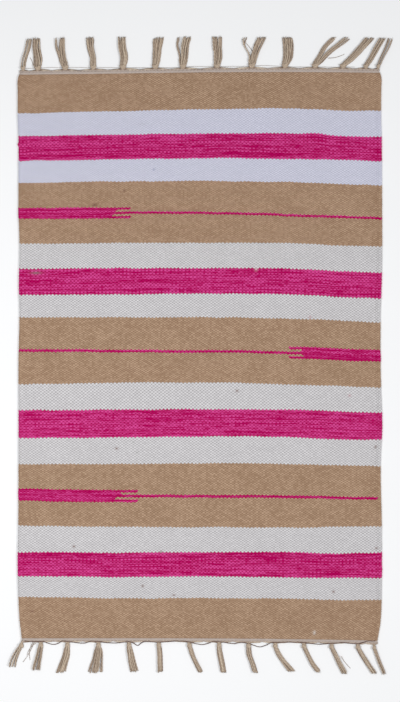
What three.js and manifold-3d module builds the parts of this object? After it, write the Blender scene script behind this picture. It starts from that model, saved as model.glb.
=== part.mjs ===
// Kilim rug: a flat-woven cotton cloth with a heading strip and fourteen knotted tassels at each end.
//
// Millimetres. The rug lies on the plane z = 0 with its stripes running along X and its length along Y.
// The origin is the middle of the cloth's underside, and the far end is at +Y.

import * as THREE from "three";
import * as BufferGeometryUtils from "three/addons/utils/BufferGeometryUtils.js";
import Module from "manifold-3d";

const wasm = await Module();
wasm.setup();

// Cloth
const CLOTH_THICKNESS = 3.0;
const CLOTH_ROWS = 36;
const INNER_COLUMNS = 14;
const EDGE_ROUNDING = 0.7;
const SELVEDGE_STATIONS = [EDGE_ROUNDING, 3, 6, 9, 12];
const UNDER_INSET = 0.5;

// The relief of the cloth's top: a ridge and a groove along each selvedge, a rounded rim, and slow waves
const RIDGE = { height: 0.35, inset: 4, reach: 2.5 };
const GROOVE = { height: -0.4, inset: 9, reach: 1.6 };
const RIM = { drop: 0.5, reach: 0.9 };
const LONG_WAVE = { height: 0.12, across: 47, acrossPhase: 1.3, along: 61, alongPhase: 0 };
const SHORT_WAVE = { height: 0.072, across: 19, acrossPhase: 0, along: 27, alongPhase: 0.7 };

// Heading strips, each parted from the cloth's end edge
const PIECE_GAP = 0.3;
const HEADING_WIDTH = 6.2;
const HEADING_THICKNESS = 2.6;
const HEADING_CROWN = 0.5;

// Tassels
const KNOT_WIDTH = 8.6;
const KNOT_LENGTH = 7.2;
const KNOT_HEIGHT = 5.2;
const KNOT_SIDES = 8;
const KNOT_RINGS = 4;
const KNOT_FOOT = 0.42;
const KNOT_RIDGE = 0.1;
const KNOT_TWIST = 2.5;
const KNOT_MARGIN = 0.6;
const STRAND_WIDTH = 1.5;
const STRAND_ROOT_WIDTH = 0.8;
const STRAND_HEIGHT = 1.4;
const STRAND_GAP = 0.35;
const STRAND_STATIONS = [0, 0.2, 0.58, 1];
const LEAN_STATIONS = [0, 1 / 3, 2 / 3, 1];
const ROOT_INSET = 1.8 * STRAND_WIDTH;
const FULL_WIDTH_SHARE = 0.2;
const FORK_START = 0.25;
const FORK_END = 0.9;
const TIP_TRIMS = [0, 0.05, 0.02, 0.07, 0.03];
const TIP_TRIM_STEP = 3;

const COTTON = { roughness: 0.95, metalness: 0 };
const TAN = new THREE.Color(0x9e826c);
const UNDYED = new THREE.Color(0xada191);

/** Turns rows of numbers into objects with named columns. */
function table(columns, rows) {
  return rows.map((row) => Object.fromEntries(columns.map((name, i) => [name, row[i]])));
}

/** Returns a function that follows a smooth curve through one column of a table. */
function curveThrough(rows, positionColumn, valueColumn) {
  const positions = rows.map((row) => row[positionColumn]);
  const values = rows.map((row) => row[valueColumn]);
  const curve = new THREE.CubicInterpolant(positions, values, 1);
  return (position) => curve.evaluate(position)[0];
}

// The selvedges: where each side edge is, at places along the rug
const SIDES = table(
  ["along", "left", "right"],
  [
    [-464, -296.0, 294.5],
    [-437, -299.0, 299.0],
    [-404, -300.9, 300.9],
    [-346, -302.5, 302.2],
    [-272, -301.2, 302.0],
    [-181, -300.9, 299.5],
    [-115, -300.9, 302.2],
    [-74, -300.9, 301.2],
    [-7, -300.9, 299.2],
    [72, -299.2, 299.5],
    [121, -300.5, 301.0],
    [171, -299.2, 302.0],
    [257, -300.9, 302.5],
    [359, -300.9, 302.5],
    [393, -302.5, 300.9],
    [439, -303.6, 300.9],
    [454, -302.5, 300.9],
    [469, -299.2, 297.5],
  ],
);

// The end edges: how far each one is from the middle, at places across the rug
const ENDS = table(
  ["across", "far", "near"],
  [
    [-298, 465.3, 467.5],
    [-256, 466.3, 465.8],
    [-165, 467.0, 466.6],
    [-83, 468.3, 467.6],
    [25, 469.5, 467.5],
    [107, 469.9, 468.6],
    [198, 469.6, 469.1],
    [264, 469.4, 471.6],
    [298, 468.3, 471.0],
  ],
);

// The tassels from left to right. root is the knot's place across the rug. near, far and tip are how far
// the bundle leans from there at one third, two thirds and all of its reach. waist and spread are its width
// just past the knot and at the tips. under and over count the strands of its two layers. From the share
// called part on, the strands stand off by fork: to the right, or to the left of it where fork is negative.
const TASSEL_COLUMNS = [
  "root", "near", "far", "tip", "waist", "spread", "reach", "under", "over", "fork", "part",
];

const FAR_TASSELS = table(TASSEL_COLUMNS, [
  [-292.7, 2.1, 7.0, 9.6, 7.6, 7.6, 50, 4, 3, 0, 0],
  [-268.6, 1.7, -2.5, -2.6, 12.0, 12.6, 50, 5, 4, 0, 0],
  [-223.0, -4.3, -6.0, -5.6, 13.0, 12.0, 50, 6, 4, -5, 0.3],
  [-176.7, 0.0, -3.8, -5.0, 10.6, 12.6, 50, 5, 4, 0, 0],
  [-127.6, 1.5, -1.5, -1.8, 12.6, 14.8, 50, 5, 4, 0, 0],
  [-74.0, 2.1, 3.5, 5.0, 12.0, 18.0, 49, 6, 4, 0, 0],
  [-28.4, 1.8, 3.0, 6.6, 14.0, 16.0, 49, 6, 5, -7, 0.12],
  [27.8, 1.3, 0.0, -0.7, 12.0, 20.0, 49, 6, 5, 0, 0],
  [85.5, 3.5, 8.8, 15.5, 14.0, 19.0, 48, 6, 5, -18, 0.12],
  [140.5, 5.0, 5.6, 4.0, 13.6, 19.0, 48, 6, 5, 0, 0],
  [190.3, 8.9, 19.7, 33.0, 11.0, 13.0, 47, 5, 4, 15, 0.55],
  [236.5, 15.5, 29.6, 44.8, 11.0, 13.0, 47, 5, 4, 0, 0],
  [274.2, 9.8, 18.8, 28.6, 8.0, 9.6, 47, 4, 3, 0, 0],
  [294.6, 5.3, 12.7, 19.6, 5.0, 5.4, 47, 2, 1, 0, 0],
]);

const NEAR_TASSELS = table(TASSEL_COLUMNS, [
  [-292.6, -3.5, -10.9, -15.9, 8.0, 9.6, 38, 4, 3, 0, 0],
  [-263.3, -2.0, -5.3, -8.1, 9.8, 12.6, 43, 5, 3, 0, 0],
  [-219.2, -1.5, -6.0, -10.6, 9.4, 16.0, 46.5, 5, 4, 0, 0],
  [-168.0, -0.8, -3.1, -5.0, 11.0, 22.0, 47.5, 6, 5, 0, 0],
  [-117.4, 2.3, 4.8, 8.3, 9.4, 14.0, 45.5, 5, 4, 0, 0],
  [-68.1, 1.5, 1.8, 2.0, 7.6, 8.8, 46.5, 4, 3, 0, 0],
  [-17.5, 4.6, 11.2, 18.8, 7.8, 8.0, 46, 4, 3, 0, 0],
  [31.6, 1.7, 4.8, 7.4, 9.6, 9.6, 46, 5, 3, 0, 0],
  [80.0, 1.7, 6.6, 11.7, 9.6, 10.0, 46, 5, 3, 0, 0],
  [124.3, 6.0, 15.4, 26.9, 7.8, 13.0, 43.5, 4, 3, 0, 0],
  [171.9, 6.1, 13.2, 23.6, 7.8, 8.4, 44, 4, 3, 0, 0],
  [217.5, 7.3, 14.2, 21.8, 7.8, 8.4, 46, 4, 3, 0, 0],
  [261.0, 6.4, 15.4, 26.3, 7.8, 9.8, 45.5, 4, 3, 0, 0],
  [288.0, 3.1, 8.4, 17.0, 5.8, 5.8, 46, 3, 2, 0, 0],
]);

const leftSide = curveThrough(SIDES, "along", "left");
const rightSide = curveThrough(SIDES, "along", "right");
const farEnd = curveThrough(ENDS, "across", "far");
const nearEnd = curveThrough(ENDS, "across", "near");

/** Returns the height of a ridge or groove along a selvedge: a bell of the distance from its middle. */
function bellHeight(bell, fromSide) {
  return bell.height * Math.exp(-(((fromSide - bell.inset) / bell.reach) ** 2));
}

/** Returns the height of a slow wave at a place on the cloth. */
function waveHeight(wave, x, y) {
  const across = Math.sin(x / wave.across + wave.acrossPhase);
  const along = Math.sin(y / wave.along + wave.alongPhase);
  return wave.height * across * along;
}

/** Returns the height of the cloth's top, from the distances to its nearest selvedge and end edge. */
function clothHeight(x, y, fromSide, fromEnd) {
  const selvedge = bellHeight(RIDGE, fromSide) + bellHeight(GROOVE, fromSide);
  const rim = RIM.drop * Math.exp(-Math.min(fromSide, fromEnd) / RIM.reach);
  const waves = waveHeight(LONG_WAVE, x, y) + waveHeight(SHORT_WAVE, x, y);
  return CLOTH_THICKNESS + selvedge - rim + waves;
}

/**
 * Builds a closed slab from a grid of top points, top[j][i] with i from left to right and j from the near
 * end to the far end. Its walls bulge outwards and its underside is one flat face at z = 0.
 */
function slabGeometry(top, bulge, underInset) {
  const rows = top.length;
  const columns = top[0].length;
  const points = top.flat();
  const faces = [];
  const at = (i, j) => j * columns + i;
  for (let j = 0; j + 1 < rows; j += 1) {
    for (let i = 0; i + 1 < columns; i += 1) {
      faces.push([at(i, j), at(i + 1, j), at(i + 1, j + 1)]);
      faces.push([at(i, j), at(i + 1, j + 1), at(i, j + 1)]);
    }
  }

  const rim = [];
  for (let i = 0; i < columns; i += 1) rim.push(at(i, 0));
  for (let j = 1; j < rows; j += 1) rim.push(at(columns - 1, j));
  for (let i = columns - 2; i >= 0; i -= 1) rim.push(at(i, rows - 1));
  for (let j = rows - 2; j >= 1; j -= 1) rim.push(at(0, j));

  const outwards = rim.map((_, k) => {
    const before = points[rim[(k + rim.length - 1) % rim.length]];
    const after = points[rim[(k + 1) % rim.length]];
    return new THREE.Vector3(after.y - before.y, before.x - after.x, 0).normalize();
  });

  const addRing = (offset, height) => {
    const first = points.length;
    rim.forEach((index, k) => {
      const point = points[index].clone().addScaledVector(outwards[k], offset);
      point.z = height(point.z);
      points.push(point);
    });
    return rim.map((_, k) => first + k);
  };
  const middle = addRing(bulge, (z) => z / 2);
  const under = addRing(-underInset, () => 0);

  const joinRings = (upper, lower) => {
    upper.forEach((_, k) => {
      const next = (k + 1) % upper.length;
      faces.push([lower[k], lower[next], upper[next]]);
      faces.push([lower[k], upper[next], upper[k]]);
    });
  };
  joinRings(rim, middle);
  joinRings(middle, under);

  const outline = under.map((index) => new THREE.Vector2(points[index].x, points[index].y));
  for (const [a, b, c] of THREE.ShapeUtils.triangulateShape(outline, [])) {
    faces.push([under[a], under[c], under[b]]);
  }
  return new THREE.BufferGeometry().setFromPoints(points).setIndex(faces.flat());
}

/** Returns the places of the cloth's columns across the rug, at a share of the way to its far end. */
function columnsAcross(share) {
  const along = THREE.MathUtils.lerp(SIDES[0].along, SIDES.at(-1).along, share);
  const left = leftSide(along);
  const right = rightSide(along);
  const step = (right - left) / (INNER_COLUMNS + 1);
  return [
    ...SELVEDGE_STATIONS.map((inset) => left + inset),
    ...Array.from({ length: INNER_COLUMNS }, (_, i) => left + step * (i + 1)),
    ...SELVEDGE_STATIONS.map((inset) => right - inset).reverse(),
  ];
}

/** Builds the woven cloth, with a ridge and a shallow groove along each selvedge. */
function clothGeometry() {
  const top = [];
  for (let j = 0; j <= CLOTH_ROWS; j += 1) {
    const share = j / CLOTH_ROWS;
    const across = columnsAcross(share);
    top.push(
      across.map((x) => {
        const low = -nearEnd(x) + EDGE_ROUNDING;
        const high = farEnd(x) - EDGE_ROUNDING;
        const y = THREE.MathUtils.lerp(low, high, share);
        const fromSide = EDGE_ROUNDING + Math.min(x - across[0], across.at(-1) - x);
        const fromEnd = Math.min(y - low, high - y);
        return new THREE.Vector3(x, y, clothHeight(x, y, fromSide, fromEnd));
      }),
    );
  }
  return slabGeometry(top, EDGE_ROUNDING, UNDER_INSET);
}

/** Returns how far a heading's outer edge is from the middle of the rug. */
function headingEdge(x, side) {
  const clothEnd = side > 0 ? farEnd(x) : nearEnd(x);
  return clothEnd + PIECE_GAP + HEADING_WIDTH;
}

/** Builds the heading strip of one end: side is 1 at the far end and -1 at the near end. */
function headingGeometry(side) {
  const across = columnsAcross(side > 0 ? 1 : 0).slice(1, -1);
  const ribs = [
    { inwards: HEADING_WIDTH - EDGE_ROUNDING, height: HEADING_THICKNESS - HEADING_CROWN },
    { inwards: HEADING_WIDTH / 2, height: HEADING_THICKNESS },
    { inwards: EDGE_ROUNDING, height: HEADING_THICKNESS - HEADING_CROWN },
  ];
  const lines = ribs.map(({ inwards, height }) =>
    across.map((x) => new THREE.Vector3(x, side * (headingEdge(x, side) - inwards), height)),
  );
  const top = side > 0 ? lines : lines.reverse();
  return slabGeometry(top, EDGE_ROUNDING, 0);
}

/** Builds the lump of an overhand knot about its own middle, standing on z = 0. */
function knotGeometry(width) {
  const lump = new THREE.SphereGeometry(1, KNOT_SIDES, KNOT_RINGS);
  lump.deleteAttribute("normal");
  lump.deleteAttribute("uv");
  const merged = BufferGeometryUtils.mergeVertices(lump);
  const position = merged.getAttribute("position");
  const point = new THREE.Vector3();
  for (let k = 0; k < position.count; k += 1) {
    point.fromBufferAttribute(position, k);
    const turn = Math.atan2(point.y, point.x);
    const ridge = 1 + KNOT_RIDGE * Math.cos(2 * turn + KNOT_TWIST * point.z);
    point.set(
      (point.x * ridge * width) / 2,
      (point.y * ridge * KNOT_LENGTH) / 2 / (1 + KNOT_RIDGE),
      Math.max(KNOT_HEIGHT * (KNOT_FOOT + (1 - KNOT_FOOT) * point.z), 0),
    );
    position.setXYZ(k, point.x, point.y, point.z);
  }
  return merged;
}

/** Builds one strand: a square section, narrowed at its root, carried along its centreline. */
function strandGeometry(centres) {
  const points = [];
  const faces = [];
  const last = centres.length - 1;
  centres.forEach((centre, i) => {
    const forward = centres[Math.min(i + 1, last)].clone().sub(centres[Math.max(i - 1, 0)]);
    const width = i > 0 ? STRAND_WIDTH : STRAND_ROOT_WIDTH;
    const right = new THREE.Vector3(forward.y, -forward.x, 0).setLength(width / 2);
    const up = new THREE.Vector3(0, 0, STRAND_HEIGHT / 2);
    points.push(centre.clone().sub(right).sub(up));
    points.push(centre.clone().add(right).sub(up));
    points.push(centre.clone().add(right).add(up));
    points.push(centre.clone().sub(right).add(up));
  });
  for (let i = 0; i < last; i += 1) {
    for (let k = 0; k < 4; k += 1) {
      const here = 4 * i + k;
      const beside = 4 * i + ((k + 1) % 4);
      faces.push([here, here + 4, beside + 4]);
      faces.push([here, beside + 4, beside]);
    }
  }
  const end = 4 * last;
  faces.push([0, 1, 2], [0, 2, 3], [end, end + 2, end + 1], [end, end + 3, end + 2]);
  return new THREE.BufferGeometry().setFromPoints(points).setIndex(faces.flat());
}

/** Turns a closed geometry into a solid that can be joined to others. */
function toSolid(geometry) {
  const vertProperties = new Float32Array(geometry.getAttribute("position").array);
  const triVerts = new Uint32Array(geometry.getIndex().array);
  return new wasm.Manifold(new wasm.Mesh({ numProp: 3, vertProperties, triVerts }));
}

/** Turns a solid back into a geometry. */
function toGeometry(solid) {
  const mesh = solid.getMesh();
  const geometry = new THREE.BufferGeometry();
  geometry.setAttribute("position", new THREE.BufferAttribute(mesh.vertProperties, 3));
  geometry.setIndex(new THREE.BufferAttribute(mesh.triVerts, 1));
  return geometry;
}

/** Returns the centrelines of a tassel's strands, from the middle of its knot. */
function strandCentrelines(tassel, knotWidth, side) {
  const leans = [0, tassel.near, tassel.far, tassel.tip];
  const leanRows = leans.map((lean, i) => ({ share: LEAN_STATIONS[i], lean }));
  const lean = curveThrough(leanRows, "share", "lean");
  const halfWidth = (share) => {
    const bundle = THREE.MathUtils.lerp(tassel.waist, tassel.spread, share);
    const grown = THREE.MathUtils.smoothstep(share, 0, FULL_WIDTH_SHARE);
    return THREE.MathUtils.lerp(knotWidth - ROOT_INSET, bundle - STRAND_WIDTH, grown) / 2;
  };
  const layers = [
    { count: tassel.under, level: STRAND_HEIGHT / 2 },
    { count: tassel.over, level: 1.5 * STRAND_HEIGHT + STRAND_GAP },
  ];
  return layers.flatMap(({ count, level }) =>
    Array.from({ length: count }, (_, k) => {
      const lane = (k + 0.5 * (tassel.under - count)) / Math.max(tassel.under - 1, 1);
      const stands = tassel.fork > 0 ? lane > tassel.part : lane < tassel.part;
      const trim = TIP_TRIMS[(TIP_TRIM_STEP * k + count) % TIP_TRIMS.length];
      return STRAND_STATIONS.map((share) => {
        const fork = stands ? tassel.fork * THREE.MathUtils.smoothstep(share, FORK_START, FORK_END) : 0;
        const rise = share > 0 ? 0 : 0.5 * STRAND_HEIGHT;
        return new THREE.Vector3(
          lean(share) + (2 * lane - 1) * halfWidth(share) + fork,
          side * share * tassel.reach * (1 - trim),
          level + rise,
        );
      });
    }),
  );
}

/** Builds one tassel: its knot fused with the roots of its strands. */
function tasselGeometry(tassel, side) {
  const knotWidth = Math.min(KNOT_WIDTH, tassel.waist + KNOT_MARGIN);
  const strands = strandCentrelines(tassel, knotWidth, side).map(strandGeometry);
  const knot = toSolid(knotGeometry(knotWidth));
  return toGeometry(strands.reduce((solid, strand) => solid.add(toSolid(strand)), knot));
}

/** Makes a named mesh of undyed cotton. */
function undyedMesh(name, geometry) {
  const mesh = new THREE.Mesh(geometry, new THREE.MeshStandardMaterial({ color: UNDYED, ...COTTON }));
  mesh.name = name;
  return mesh;
}

/** Builds one end of the rug: its heading strip, and its tassels placed along the strip. */
function rugEnd(endName, side, tassels) {
  const end = new THREE.Group();
  end.add(undyedMesh(`heading_${endName}`, headingGeometry(side)));
  tassels.forEach((tassel, k) => {
    const number = String(k + 1).padStart(2, "0");
    const mesh = undyedMesh(`tassel_${endName}_${number}`, tasselGeometry(tassel, side));
    const knotPlace = headingEdge(tassel.root, side) + PIECE_GAP + KNOT_LENGTH / 2;
    mesh.position.set(tassel.root, side * knotPlace, 0);
    end.add(mesh);
  });
  return end;
}

const cloth = new THREE.Mesh(clothGeometry(), new THREE.MeshStandardMaterial({ color: TAN, ...COTTON }));
cloth.name = "rug_cloth";

const rug = new THREE.Group();
rug.add(cloth, rugEnd("far", 1, FAR_TASSELS), rugEnd("near", -1, NEAR_TASSELS));

export default rug;
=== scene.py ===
"""The looks of a flat-woven cotton rug: cloth woven pick by pick, headings, edge cords and knotted tassels.

The script works in millimetres in the rug's own frame, X along the stripes and Y towards the far end, and
turns them into metres where a mesh is made. A place in the weave is a pair of numbers: which warp, counted
from the left selvedge, and which pick (a pick is one pass of the weft), counted from the far end.
"""

import functools
import logging
import math
from dataclasses import dataclass
from enum import Enum
from typing import Sequence

import bpy
import numpy as np
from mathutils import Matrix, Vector


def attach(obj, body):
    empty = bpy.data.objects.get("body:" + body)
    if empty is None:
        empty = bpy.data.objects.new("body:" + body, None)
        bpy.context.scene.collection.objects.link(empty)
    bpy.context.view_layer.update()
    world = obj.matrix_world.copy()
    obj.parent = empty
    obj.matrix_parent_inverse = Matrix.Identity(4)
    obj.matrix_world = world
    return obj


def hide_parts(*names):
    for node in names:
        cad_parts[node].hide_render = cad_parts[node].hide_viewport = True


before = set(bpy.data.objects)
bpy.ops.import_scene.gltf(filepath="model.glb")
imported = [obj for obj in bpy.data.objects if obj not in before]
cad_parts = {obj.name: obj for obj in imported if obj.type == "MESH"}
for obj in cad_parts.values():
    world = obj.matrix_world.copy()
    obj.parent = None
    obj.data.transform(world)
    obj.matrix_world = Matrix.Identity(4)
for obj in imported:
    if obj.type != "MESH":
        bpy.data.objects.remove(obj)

LOG = logging.getLogger("rug")

MM = 0.001
BODY = "root"
FAR, NEAR = 1, -1

# The cloth
WARPS = 197
CLOTH_THICKNESS = 3.0
TURN_WIDTH = 1.5
PIECE_GAP = 0.3

# The heading: its whole width, and its strip
HEADING_WIDTH = 6.2
STRIP_START = -0.5
STRIP_PICKS = 3
STRIP_THICKNESS = 2.6

# The knots and the yarn. A yarn is darker by BELOW_SHADE where it faces down, a painted shade.
KNOT_LENGTH = 7.2
KNOT_HEIGHT = 5.2
YARN_RADIUS = 0.96
BELOW_SHADE = 0.42


@dataclass(frozen=True)
class Dye:
    """A cotton yarn as dyed.

    pale and deep are the base colours between which one yarn varies (linear red, green, blue), the gap colour
    is painted shade, the yarn darkened where it dives between two warps, and relief is how far its floats
    stand up (mm).
    """

    pale: tuple[float, float, float]
    deep: tuple[float, float, float]
    gap: tuple[float, float, float]
    relief: float


class Yarn(Enum):
    """The yarns of the rug."""

    TAN = Dye((0.512, 0.347, 0.235), (0.374, 0.239, 0.153), (0.238, 0.141, 0.086), 0.18)
    BLEACHED = Dye((0.668, 0.664, 0.780), (0.620, 0.618, 0.731), (0.464, 0.472, 0.570), 0.10)
    NATURAL = Dye((0.720, 0.700, 0.712), (0.644, 0.624, 0.636), (0.313, 0.299, 0.301), 0.28)
    PINK = Dye((0.715, 0.070, 0.312), (0.455, 0.0002, 0.102), (0.290, 0.0003, 0.045), 0.20)
    UNDYED = Dye((0.600, 0.508, 0.460), (0.512, 0.432, 0.392), (0.360, 0.296, 0.252), 0.22)


@dataclass(frozen=True)
class Stripe:
    """A run of picks of one yarn, and how far along the rug its near edge is at each of STATIONS."""

    yarn: Yarn
    picks: int
    near_edge: tuple[float, float, float, float, float, float]


# The stripes from the far end to the near end. The tan stripes that hold a pink inset are two rows, which
# meet at the inset's thin line.
STATIONS = (-294.0, -132.0, 33.0, 159.0, 225.0, 294.0)
FAR_EDGE = (465.4, 467.5, 469.5, 469.8, 469.4, 468.5)
STRIPES = (
    Stripe(Yarn.TAN, 36, (401.2, 405.0, 408.4, 409.3, 406.2, 405.1)),
    Stripe(Yarn.BLEACHED, 20, (363.9, 366.1, 368.2, 368.0, 364.3, 362.0)),
    Stripe(Yarn.PINK, 16, (322.4, 325.0, 326.7, 325.0, 324.8, 321.4)),
    Stripe(Yarn.BLEACHED, 20, (285.6, 288.6, 289.1, 287.2, 284.7, 281.8)),
    Stripe(Yarn.TAN, 29, (236.1, 236.8, 236.3, 232.4, 229.6, 227.6)),
    Stripe(Yarn.TAN, 27, (185.6, 186.8, 187.3, 186.2, 182.8, 181.5)),
    Stripe(Yarn.NATURAL, 20, (143.9, 145.3, 145.3, 144.1, 140.3, 138.0)),
    Stripe(Yarn.PINK, 16, (100.2, 101.7, 102.7, 101.6, 97.4, 95.1)),
    Stripe(Yarn.NATURAL, 18, (63.6, 64.0, 63.8, 61.3, 59.0, 54.9)),
    Stripe(Yarn.TAN, 28, (9.1, 8.3, 7.6, 5.2, 2.1, -0.3)),
    Stripe(Yarn.TAN, 28, (-46.8, -44.1, -44.0, -47.4, -49.4, -52.2)),
    Stripe(Yarn.NATURAL, 18, (-89.8, -88.6, -87.8, -89.6, -91.7, -93.8)),
    Stripe(Yarn.PINK, 18, (-135.7, -134.7, -132.8, -134.7, -138.1, -138.0)),
    Stripe(Yarn.NATURAL, 20, (-178.9, -178.4, -177.4, -179.1, -180.5, -182.5)),
    Stripe(Yarn.TAN, 27, (-228.8, -231.4, -231.8, -233.0, -234.2, -235.2)),
    Stripe(Yarn.TAN, 25, (-280.8, -282.2, -283.0, -283.8, -282.3, -281.8)),
    Stripe(Yarn.NATURAL, 20, (-324.3, -325.1, -324.1, -324.7, -326.6, -324.9)),
    Stripe(Yarn.PINK, 16, (-364.3, -365.6, -364.6, -366.8, -366.9, -367.4)),
    Stripe(Yarn.NATURAL, 18, (-397.9, -400.7, -400.5, -401.3, -403.6, -403.5)),
    Stripe(Yarn.TAN, 36, (-467.3, -467.0, -467.5, -468.6, -469.6, -471.1)),
)
PICKS = sum(stripe.picks for stripe in STRIPES)


@dataclass(frozen=True)
class Inset:
    """Pink picks turned back inside a tan stripe: a thin line, a block at one selvedge and its two prongs.

    line is the first of the line's two picks, block and prong are the warps at which those turn back, and
    line_end is the warp where the line stops short of the other selvedge.
    """

    line: int
    from_left: bool
    block: int
    prong: int
    line_end: int


INSETS = (
    Inset(line=120, from_left=True, block=51, prong=60, line_end=196),
    Inset(line=229, from_left=False, block=155, prong=147, line_end=0),
    Inset(line=340, from_left=True, block=53, prong=64, line_end=194),
)
# A line or prong is a pair of picks. The prongs are PRONG_OFFSET picks from the line. A block's end is ragged
# by a few warps. LINE_LEVEL and LINE_SPREAD say how level and how thick a line's edges are.
PAIR = 2
PRONG_OFFSET = 4
RAGGEDNESS = 4
LINE_LEVEL = 0.65
LINE_SPREAD = 0.14


@dataclass(frozen=True)
class Side:
    """Where both selvedges are, at a place along the rug."""

    along: float
    left: float
    right: float


SIDES = (
    Side(-464, -296.0, 294.5),
    Side(-437, -299.0, 299.0),
    Side(-404, -300.9, 300.9),
    Side(-346, -302.5, 301.6),
    Side(-272, -301.2, 301.2),
    Side(-181, -300.9, 299.5),
    Side(-115, -300.9, 302.2),
    Side(-74, -300.9, 301.2),
    Side(-7, -300.9, 299.2),
    Side(72, -299.2, 299.5),
    Side(121, -300.5, 301.0),
    Side(171, -299.2, 302.0),
    Side(257, -300.9, 301.8),
    Side(359, -300.9, 301.3),
    Side(393, -302.2, 300.2),
    Side(439, -302.2, 300.4),
    Side(454, -302.5, 300.9),
    Side(469, -299.2, 297.5),
)


@dataclass(frozen=True)
class Bulge:
    """A bell-shaped bulge: where its middle is, how far it reaches each way, and how far it stands out."""

    middle: float
    reach: float
    out: float

    def at(self, places: np.ndarray) -> np.ndarray:
        """Returns out times e to the minus squared share of the reach, at each place."""
        return self.out * np.exp(-(((places - self.middle) / self.reach) ** 2))


def bulged(places: np.ndarray, bulges: Sequence[Bulge]) -> np.ndarray:
    """Adds up several bulges at each place."""
    return sum(bulge.at(places) for bulge in bulges)


@dataclass(frozen=True)
class Wave:
    """A product of two sines: its height, how far across and along the rug a radian takes, and the phases."""

    height: float
    across: float
    along: float
    across_phase: float = 0.0
    along_phase: float = 0.0

    def at(self, x: np.ndarray, y: np.ndarray) -> np.ndarray:
        """Returns the wave's height at each place."""
        crosswise = np.sin(x / self.across + self.across_phase)
        return self.height * crosswise * np.sin(y / self.along + self.along_phase)


# Loose turns of the weft at the selvedges, by their place along the rug
LEFT_BULGES = (Bulge(349.6, 1.6, 2.4), Bulge(236.0, 11.0, 0.9), Bulge(-228.0, 9.0, 0.6))
RIGHT_BULGES = (Bulge(-4.0, 8.0, 0.7), Bulge(-352.0, 5.0, 0.5))

# A low hump in one stripe's near edge, by its place across the rug
HUMP_STRIPE = 1
HUMP = Bulge(191.0, 18.0, 2.4)

# The relief of the cloth's top: a ridge and a groove along each selvedge, by their distance from it, a
# rounded rim at the sides and the ends, and slow waves
RIDGE = Bulge(4.0, 2.5, 0.35)
GROOVE = Bulge(9.0, 1.6, 0.40)
SIDE_FALL, END_FALL = 0.70, 0.30
FALL_REACH = 1.2
WAVE_HEIGHT = 0.12
WAVES = (Wave(1.0, 47, 61, across_phase=1.3), Wave(0.6, 19, 27, along_phase=0.7))

# The height of a thread that lies on the heading
ON_HEADING = 2.9


@dataclass(frozen=True)
class ThreadPlace:
    """A place of a thread along a heading: across the rug, out from the cloth's end, and its height."""

    across: float
    out: float
    height: float = ON_HEADING


def thread_places(*rows: tuple[float, ...]) -> tuple[ThreadPlace, ...]:
    """Turns rows of numbers, in the order of ThreadPlace, into a thread's places."""
    return tuple(ThreadPlace(*row) for row in rows)


# The far thread shows on the heading at two places only, and is hidden in it elsewhere. The far line is a
# thin pale thread on the floor from knot to knot. The near thread lies on the heading, and hangs out from it
# between some knots.
FAR_THREAD = thread_places(
    (-292, 2.0, 0.8), (-225, 3.0, 0.8), (-214, 4.5, 2.4), (-203, 4.6), (-194, 4.5, 2.4), (-186, 3.0, 0.8),
    (-20, 3.0, 0.8), (-14, 4.2, 2.6), (-4, 4.8, 2.8), (6, 4.2, 2.6), (12, 3.0, 0.8), (292, 2.0, 0.8),
)
FAR_LINE = thread_places(
    (-288, 9.6, 0.5), (-248, 10.8, 0.4), (-200, 10.2, 0.4), (-152, 9.6, 0.4), (-102, 8.5, 0.4),
    (-53, 8.2, 0.4), (-7, 9.4, 0.4), (50, 9.0, 0.4), (109, 10.2, 0.4), (122, 9.4, 0.4), (169, 8.0, 0.4),
    (212, 8.2, 0.4), (256, 8.6, 0.4),
)
NEAR_THREAD = thread_places(
    (-290, 4.0, 2.6), (-281, 4.8, 2.6), (-264, 4.5), (-258, 4.8, 2.6), (-251, 7.8, 1.5), (-243, 9.8, 0.5),
    (-235, 8.3, 0.9), (-229, 4.6), (-221, 4.5), (-203, 6.8), (-190, 7.3), (-182, 4.8), (-172, 4.5),
    (-155, 6.8), (-138, 7.3), (-116, 5.3), (-110, 7.3, 2.0), (-103, 11.3, 0.5), (-97, 7.3, 2.0), (-92, 5.3),
    (-68, 5.8), (-40, 4.3), (-22, 4.8), (-5, 8.8, 1.8), (5, 9.8, 0.8), (13, 7.8, 2.0), (20, 4.8), (32, 4.8),
    (55, 7.8), (67, 5.8), (80, 7.3, 2.6), (89, 10.3, 0.8), (99, 13.3, 0.5), (109, 10.3, 1.2), (116, 6.3),
    (130, 5.3), (165, 4.8), (195, 7.3), (215, 5.8), (235, 4.3), (261, 5.3), (271, 2.5), (278, 0.5),
    (290, 0.5, 2.4),
)


@dataclass(frozen=True)
class Thread:
    """A thread that runs outside a heading: its radius, its tone against the dark yarn, and its places."""

    radius: float
    tone: float
    places: Sequence[ThreadPlace]


@dataclass(frozen=True)
class Heading:
    """How a heading lies, by distances out from the cloth's end.

    strip is where the woven strip ends, cord the middle of the edge cord, and edge where the warps leave,
    farther out where it has bulges. knot_width is the most that a knot is wide, knot_taper the share of it
    on the heading's side, and knot_shift how far out it has slid. tent is how far the warps have risen from
    the edge beside a knot, and yarn_tone how pale the tassels are.
    """

    strip: float
    cord: float
    edge: float
    edge_bulges: Sequence[Bulge]
    cord_radius: float
    threads: Sequence[Thread]
    knot_width: float
    knot_taper: float
    knot_shift: float
    tent: float
    yarn_tone: float


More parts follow.
